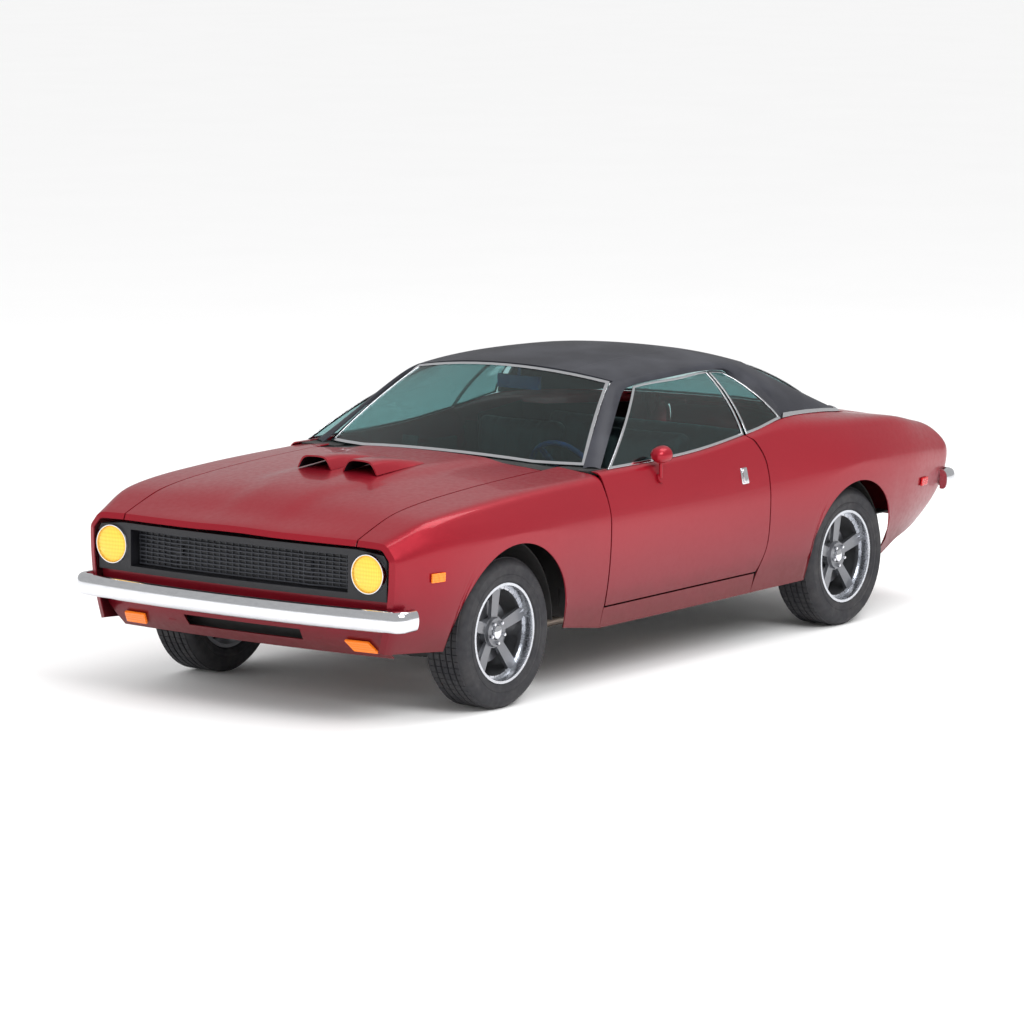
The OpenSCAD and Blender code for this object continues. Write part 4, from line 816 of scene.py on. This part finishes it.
@dataclass
class Wheels:
    """Tyres with tread blocks and five-spoke rims with nuts."""

    finishes: Finishes
    tread_segments: int = 66
    ribs: int = 5
    bead: float = 0.2205
    shoulder: float = 0.026
    tread_depth: float = 0.0045
    lip_radius: float = 0.196
    nuts: int = 5
    nut_circle: float = 0.047

    def build(self) -> None:
        """Makes the four wheels."""
        for end in ("front", "rear"):
            for side in Side:
                self.wheel(end, side)

    def wheel(self, end: str, side: Side) -> None:
        """One wheel.

        Args:
            end: Front or rear.
            side: Side of the car.
        """
        name = f"{end}_{side.name.lower()}"
        low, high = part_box(f"tyre_{name}")
        centre, radius, half = (low + high) / 2, (high.z - low.z) / 2, (high.y - low.y) / 2
        sign = side.value
        tyre = Shape()
        near_bead = [(0.0, 0.016), (0.008, 0.006), (0.022, 0.004), (0.026, 0.0015), (0.034, 0.0015),
                     (0.038, 0.004)]
        near_tread = [(0.062, 0.0), (0.040, 0.002), (0.036, 0.0005), (0.028, 0.002), (0.018, 0.009),
                      (0.007, 0.022)]
        outer = [(self.bead + out, half - inset) for out, inset in near_bead]
        outer += [(radius - down, half - inset) for down, inset in near_tread]
        edge = half - self.shoulder
        crown = radius - self.tread_depth
        tread = [(radius - 0.0055, edge)]
        width = 2 * edge
        for k in range(self.ribs):
            start = edge - k * width / self.ribs
            stop = start - width / self.ribs
            tread += [(crown, start - 0.003), (crown, stop + 0.003)]
            if k < self.ribs - 1:
                tread += [(radius - 0.011, stop + 0.002), (radius - 0.011, stop - 0.002)]
        inner = [(r, -d) for r, d in reversed(outer)]
        profile = [*outer, *tread, (radius - 0.0055, -edge), *inner, (self.bead, half - 0.016)]
        tyre.disc(centre, (0, sign, 0), profile, self.tread_segments)
        blocks = []
        for face in tyre.bm.faces:
            mid = face.calc_center_median()
            on_crown = abs(math.hypot(mid.x - centre.x, mid.z - centre.z) - crown) < 0.0006
            if on_crown and face.calc_area() > 0.00015 and abs(face.normal.y) < 0.2:
                blocks.append(face)
        bmesh.ops.inset_individual(tyre.bm, faces=blocks, thickness=0.0022, depth=0.0042)
        node = f"tyre_{name}"
        tyre.piece(f"{node}_rubber", BODY_OF[node], self.finishes.tyre, "tyre", [node], sharp=32)
        self.rim(name, centre, sign)

    def rim(self, name: str, centre: Vector, sign: int) -> None:
        """The rim with its bright lip, cap and nuts.

        Args:
            name: The wheel's place in words.
            centre: The wheel's middle.
            sign: Sign of Y on its side.
        """
        node = f"rim_{name}"
        body = BODY_OF[node]
        rim = Shape.of_node(node, 8)
        for face in rim.bm.faces:
            mid = face.calc_center_median()
            far_out = math.hypot(mid.x - centre.x, mid.z - centre.z) > self.lip_radius
            if far_out and (mid.y - centre.y) * sign > 0.03:
                face.material_index = 1
        rim.piece(f"{node}_wheel", body, [self.finishes.rim, self.finishes.lip], "wheel_rim", [node],
                  bevel=0.0025, sharp=30)
        trim = Shape()
        hub = centre.copy()
        hub.y = centre.y + sign * 0.052
        cap = [(0, 0.016), (0.018, 0.015), (0.028, 0.009), (0.030, 0.0), (0.033, 0.0), (0.033, -0.004)]
        nut = [(0, 0.016), (0.006, 0.015), (0.0095, 0.011), (0.0095, 0.0), (0.012, -0.002)]
        trim.disc(hub, (0, sign, 0), cap, 32)
        for k in range(self.nuts):
            angle = math.tau * (k + 0.5) / self.nuts + math.pi / 2
            spot = hub + Vector((math.cos(angle) * self.nut_circle, 0, math.sin(angle) * self.nut_circle))
            trim.disc(spot, (0, sign, 0), nut, 6)
        trim.piece(f"{node}_nuts", body, self.finishes.chrome, "wheel_rim")


@dataclass
class DoorTrim:
    """Handles, mirror glass, and inner door pads with their cranks."""

    finishes: Finishes
    handle_x: float = -0.335
    handle_z: float = 0.822
    inner_y: float = 0.8125
    mirror_y: float = 0.893
    mirror_z: float = 0.990

    def build(self) -> None:
        """Makes the trim of both doors."""
        for side in Side:
            self.handle(side)
            self.pad(side)
        self.mirror()

    def handle(self, side: Side) -> None:
        """A bright paddle handle on its base.

        Args:
            side: Side of the car.
        """
        door = f"door_{side.name.lower()}"
        start = Vector((self.handle_x, side.value * 1.2, self.handle_z))
        spot, normal, _, _ = surface_of(door).ray_cast(start, Vector((0, -side.value, 0)))
        shape = Shape()
        verts = shape.block((-0.026, -0.038, -0.004), (0.026, 0.038, 0.006), 0.005)
        verts += shape.block((-0.018, -0.031, 0.004), (0.014, 0.031, 0.0135), 0.004)
        shape.fit(verts, spot, normal)
        shape.piece(f"{door}_handle", door, self.finishes.chrome, "chrome")

    def pad(self, side: Side) -> None:
        """Inner trim pad with an armrest and a window crank.

        Args:
            side: Side of the car.
        """
        door = f"door_{side.name.lower()}"
        s = side.value
        y = s * self.inner_y
        shape = Shape()

        def add(low: Sequence[float], high: Sequence[float], r: float) -> None:
            """A rounded block on the door's inner face."""
            a, b = sorted((y + s * 0.001, y - s * high[1]))
            shape.block((low[0], a, low[2]), (high[0], b, high[2]), r)

        add((-0.44, 0, 0.42), (0.63, 0.010, 0.86), 0.004)
        add((-0.30, 0, 0.62), (0.20, 0.055, 0.675), 0.016)
        shape.piece(f"{door}_pad", door, self.finishes.seat, "seat_vinyl")
        crank = Shape()
        arm = [Vector((x, y - s * inset, z))
               for x, inset, z in ((0.33, 0.024, 0.60), (0.36, 0.030, 0.66), (0.38, 0.034, 0.71))]
        crank.disc((0.33, y - s * 0.010, 0.60), (0, -s, 0), [(0, 0.02), (0.016, 0.018), (0.02, 0.0)], 20)
        crank.tube(arm, 0.006)
        crank.disc(arm[-1], (0, -s, 0), [(0, 0.026), (0.011, 0.024), (0.012, 0.0)], 16)
        crank.piece(f"{door}_crank", door, self.finishes.chrome, "chrome")

    def mirror(self) -> None:
        """Silvered glass in the back of the door mirror's shell."""
        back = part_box("door_mirror")[0].x
        head = Shape()
        verts = head.disc((back + 0.0005, self.mirror_y, self.mirror_z), (-1, 0, 0),
                          [(0, 0.0015), (0.040, 0.0012), (0.0412, 0.0)], 40)
        bmesh.ops.scale(head.bm, verts=verts, vec=(1, 1.12, 0.92),
                        space=Matrix.Translation((0, -self.mirror_y, -self.mirror_z)))
        head.piece("door_mirror_glass", "door_left", self.finishes.mirror, "chrome")


@dataclass
class Cabin:
    """Seats, dash, console, wheel and inside mirror."""

    finishes: Finishes
    voxel: float = 0.010
    swell: float = 0.016
    stuffing: float = 0.75
    pressure: float = 4.0
    settle_steps: int = 20
    groove_depth: float = 0.007
    seat_y: float = 0.35
    seat_half: float = 0.24
    base_half: float = 0.19
    bench_inset: float = 0.02
    base_inset: float = 0.03

    def build(self) -> None:
        """Makes the cabin."""
        self.seats()
        self.dash()
        dressed("steering_wheel", "steering_wheel_rim", self.finishes.blue, "blue_trim", levels=1, crease=40)
        dressed("inside_mirror", "inside_mirror_shell", self.finishes.blue, "blue_trim", bevel=0.006, sharp=50)
        dressed("center_console", "console_box", self.finishes.grey, "dark_plastic", bevel=0.010, sharp=50)

    def dash(self) -> None:
        """Padded dash, round dials in bright rings and a glove-box lid."""
        dressed("dashboard", "dash_body", self.finishes.grey, "dark_plastic", bevel=0.012, sharp=30)
        tree = surface_of("dashboard")
        rings, dials = Shape(), Shape()
        for y, r in ((0.56, 0.030), (0.46, 0.052), (0.28, 0.052), (0.18, 0.030)):
            spot, normal, _, _ = tree.ray_cast(Vector((0.1, y, 0.83)), Vector((1, 0, 0)))
            if spot is None:
                continue
            rings.disc(spot, normal, [(r, -0.004), (r, 0.010), (r + 0.005, 0.012), (r + 0.008, 0.004),
                                      (r + 0.008, -0.004), (r, -0.004)], 40)
            dials.disc(spot, normal, [(0, 0.003), (r, 0.0025), (r, -0.002)], 40)
        rings.piece("dial_rings", "body", self.finishes.chrome, "chrome")
        dials.piece("dial_faces", "body", self.finishes.black, "dark_plastic")
        lid = Shape()
        spot, normal, _, _ = tree.ray_cast(Vector((0.1, -0.40, 0.80)), Vector((1, 0, 0)))
        if spot is not None:
            lid.fit(lid.block((-0.045, -0.19, -0.002), (0.045, 0.19, 0.004), 0.003), spot, normal)
            lid.piece("glove_box_lid", "body", self.finishes.black, "dark_plastic")

    def pad(self, name: str, low: Sequence[float], high: Sequence[float], lean: float, foot: Sequence[float],
            channels: int) -> bpy.types.Object:
        """A stuffed pad with sewn channels.

        Args:
            name: The pad's name.
            low: Its lowest corner before it leans.
            high: Its highest corner.
            lean: Angle it leans back, in degrees.
            foot: Point it leans about.
            channels: Number of channels across it.

        Returns:
            The pad.
        """
        shape = Shape()
        shape.block(low, high, 0.035, 4)
        bmesh.ops.rotate(shape.bm, verts=shape.bm.verts, cent=foot,
                         matrix=Matrix.Rotation(math.radians(-lean), 3, "Y"))
        made = shape.piece(name, "body", self.finishes.seat, "seat_vinyl")
        remesh = made.modifiers.new("remesh", "REMESH")
        remesh.mode, remesh.voxel_size = "VOXEL", self.voxel
        self.apply(made)
        rest = [v.co.copy() for v in made.data.vertices]
        cloth = made.modifiers.new("stuffing", "CLOTH")
        cloth.settings.use_pressure = True
        cloth.settings.uniform_pressure_force = self.pressure
        cloth.settings.effector_weights.gravity = 0.0
        for step in range(self.settle_steps):
            bpy.context.scene.frame_set(step + 1)
        self.apply(made)
        bpy.context.scene.frame_set(1)
        middle = (low[1] + high[1]) / 2
        half = (high[1] - low[1]) / 2
        for vert, start in zip(made.data.vertices, rest):
            move = vert.co - start
            if move.length > self.swell:
                vert.co = start + move.normalized() * self.swell
            across = (vert.co.y - middle) / half
            if abs(across) < 0.8 and channels:
                groove = abs(math.sin(math.pi * channels * (across / 0.8 + 1) / 2))
                vert.co -= vert.normal * self.groove_depth * max(0.0, 1 - groove * 3.0)
        smoothed(made, 1)
        for polygon in made.data.polygons:
            polygon.use_smooth = True
        return made

    def apply(self, made: bpy.types.Object) -> None:
        """Makes the piece's modifiers part of its mesh.

        Args:
            made: The piece.
        """
        graph = bpy.context.evaluated_depsgraph_get()
        mesh = bpy.data.meshes.new_from_object(made.evaluated_get(graph), depsgraph=graph)
        made.modifiers.clear()
        made.data = mesh

    def copied(self, made: bpy.types.Object, name: str) -> bpy.types.Object:
        """The same pad on the other side of the car.

        Args:
            made: The pad.
            name: The copy's name.

        Returns:
            The copy.
        """
        mesh = made.data.copy()
        mesh.transform(Matrix.Scale(-1, 4, (0, 1, 0)))
        mesh.flip_normals()
        other = bpy.data.objects.new(name, mesh)
        bpy.context.scene.collection.objects.link(other)
        smoothed(other, 1)
        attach(other, "body")
        return other

    def seats(self) -> None:
        """Front bucket seats on their bases and the rear bench."""
        near, far = self.seat_y - self.seat_half, self.seat_y + self.seat_half
        cushion = self.pad("seat_cushion_left", (-0.17, near, 0.375), (0.28, far, 0.485), -3, (0, 0, 0.4), 5)
        back = self.pad("seat_back_left", (-0.27, near, 0.46), (-0.165, far, 1.02), 14, (-0.20, 0, 0.45), 5)
        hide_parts("front_seats")
        self.copied(cushion, "seat_cushion_right")
        self.copied(back, "seat_back_right")
        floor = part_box("front_seats")[0].z
        base = Shape()
        for y in (-self.seat_y, self.seat_y):
            base.block((-0.16, y - self.base_half, floor), (0.25, y + self.base_half, 0.385), 0.012)
        base.piece("seat_bases", "body", self.finishes.black, "dark_plastic")
        low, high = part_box("rear_seat")
        right, left = low.y + self.bench_inset, high.y - self.bench_inset
        bench = self.pad("rear_bench_cushion", (-0.78, right, 0.455), (-0.50, left, 0.575), -4,
                         (-0.6, 0, 0.5), 9)
        self.pad("rear_bench_back", (-0.90, right, 0.54), (-0.80, left, 0.97), 12, (-0.85, 0, 0.55), 9)
        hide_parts("rear_seat")
        riser = Shape()
        riser.block((-0.79, low.y + self.base_inset, low.z), (-0.54, high.y - self.base_inset, 0.465), 0.012)
        riser.piece("rear_bench_base", "body", self.finishes.black, "dark_plastic")


@dataclass
class Machinery:
    """Engine, running gear and underbody, and the hidden structure."""

    finishes: Finishes
    hanger_height: float = 0.285
    cover_y: float = 0.165
    cover_half: float = 0.055
    ribs: int = 7
    rib_half: float = 0.045
    rib_width: float = 0.012
    rib_pitch: float = 0.073

    def build(self) -> None:
        """Gives the structure its finishes and dresses the engine."""
        for node in ("floor_pan", "engine_bay", "bulkhead", "inner_quarters", "front_suspension", "rear_axle",
                     "fuel_tank", "knuckle_left", "knuckle_right"):
            slot = "dark_plastic" if node == "inner_quarters" else "underbody_steel"
            dressed(node, f"{node}_steel", self.finishes.steel, slot, 8, bevel=0.0015, sharp=35)
        pipes = Shape.of_node("exhaust", 8)
        for face in pipes.bm.faces:
            face.material_index = int(face.calc_center_median().z > self.hanger_height)
        pipes.piece("exhaust_pipes", "body", [self.finishes.pipe, self.finishes.black], "underbody_steel",
                    ["exhaust"], bevel=0.006, sharp=50)
        dressed("engine", "engine_block", self.finishes.iron, "engine_iron", 8, bevel=0.012, sharp=40)
        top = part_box("engine")[1].z
        cleaner = Shape()
        section = [(0.05, -0.005), (0.05, 0.02), (0.165, 0.022), (0.172, 0.03), (0.172, 0.07), (0.165, 0.078),
                   (0.02, 0.084), (0.018, 0.094), (0, 0.095)]
        cleaner.disc((1.35, 0, top), (0, 0, 1), section, 64)
        cleaner.piece("air_cleaner", "body", self.finishes.black, "engine_iron")
        covers = Shape()
        for y in (-self.cover_y, self.cover_y):
            covers.block((1.10, y - self.cover_half, top - 0.004), (1.66, y + self.cover_half, top + 0.012),
                         0.005)
            for k in range(self.ribs):
                x = 1.16 + k * self.rib_pitch
                covers.block((x, y - self.rib_half, top + 0.010),
                             (x + self.rib_width, y + self.rib_half, top + 0.016), 0.002, 2)
        covers.piece("valve_covers", "body", self.finishes.lip, "engine_iron")


@dataclass
class Studio:
    """Pale floor, soft lights and the camera."""

    target: Vector
    distance: float = 23.5412
    azimuth: float = 125.684577
    elevation: float = 8.33340081
    roll: float = 0.2765
    lens: float = 180.171
    sky_light: float = 1.0
    sky_gloss: float = 0.5

    def build(self) -> None:
        """Makes the studio."""
        self.floor()
        self.light("key_light", (4.0, 9.0, 8.0), 6.0, 800)
        self.light("fill_light", (11.0, -5.0, 4.0), 6.0, 200, False)
        self.light("top_light", (-2.5, 2.5, 8.5), 5.0, 300)
        self.sky()
        bpy.context.scene.view_settings.view_transform = "Standard"
        self.camera()

    def sky(self) -> None:
        """White surroundings, dimmer in reflections than as light."""
        world = bpy.data.worlds.new("studio")
        bpy.context.scene.world = world
        world.use_nodes = True
        tree = world.node_tree
        tree.nodes.clear()
        ray = tree.nodes.new("ShaderNodeLightPath")
        dim = tree.nodes.new("ShaderNodeMapRange")
        for key, value in ((1, 0.0), (2, 1.0), (3, self.sky_light), (4, self.sky_gloss)):
            dim.inputs[key].default_value = value
        glow = tree.nodes.new("ShaderNodeBackground")
        glow.inputs["Color"].default_value = (1.0, 1.0, 1.0, 1.0)
        out = tree.nodes.new("ShaderNodeOutputWorld")
        tree.links.new(ray.outputs["Is Glossy Ray"], dim.inputs[0])
        tree.links.new(dim.outputs[0], glow.inputs["Strength"])
        tree.links.new(glow.outputs[0], out.inputs["Surface"])

    def floor(self) -> None:
        """A wide pale floor."""
        shape = bmesh.new()
        bmesh.ops.create_grid(shape, x_segments=1, y_segments=1, size=60)
        mesh = bpy.data.meshes.new("floor")
        shape.to_mesh(mesh)
        shape.free()
        made = bpy.data.objects.new("floor", mesh)
        bpy.context.scene.collection.objects.link(made)
        g = Graph("pale_floor")
        tone = g.blend(g.noise(0.8, 3), (0.93,) * 3, (0.96,) * 3)
        mesh.materials.append(g.surface(Base_Color=tone, Roughness=0.9, Specular_IOR_Level=0.1))

    def light(self, name: str, at: Sequence[float], size: float, power: float, mirrored: bool = True) -> None:
        """A square soft light that faces the car.

        Args:
            name: Its name.
            at: Its place.
            size: Its side.
            power: Its power in watts.
            mirrored: Whether it shows in reflections.
        """
        lamp = bpy.data.lights.new(name, "AREA")
        lamp.size, lamp.energy = size, power
        made = bpy.data.objects.new(name, lamp)
        made.location = at
        made.visible_glossy = mirrored
        made.rotation_euler = (Vector((0, 0, 0.5)) - Vector(at)).to_track_quat("-Z", "Y").to_euler()
        bpy.context.scene.collection.objects.link(made)

    def camera(self) -> None:
        """A long lens from ahead of the left front corner."""
        az, el, roll = (math.radians(v) for v in (self.azimuth, self.elevation, self.roll))
        right = Vector((math.cos(az), math.sin(az), 0))
        back = Vector((math.sin(az) * math.cos(el), -math.cos(az) * math.cos(el), math.sin(el)))
        up = back.cross(right)
        turned = math.cos(roll) * right + math.sin(roll) * up
        upright = math.cos(roll) * up - math.sin(roll) * right
        data = bpy.data.cameras.new("camera")
        data.lens, data.sensor_width, data.clip_end = self.lens, 36.0, 200.0
        made = bpy.data.objects.new("camera", data)
        made.matrix_world = Matrix.Translation(self.target + back * self.distance) @ Matrix(
            (turned, upright, back)).transposed().to_4x4()
        bpy.context.scene.collection.objects.link(made)
        bpy.context.scene.camera = made


def main() -> None:
    """Builds the car's looks and its studio."""
    logging.basicConfig(level=logging.INFO, format="%(name)s: %(message)s")
    finishes = Finishes()
    for assembly in (Shell, Glazing, Bumpers, Face, Wheels, DoorTrim, Cabin, Machinery):
        assembly(finishes).build()
        LOG.info("%s is done", assembly.__name__)
    Studio(Vector((0.2245, 0.0, 0.6388))).build()


if __name__ == "__main__":
    main()
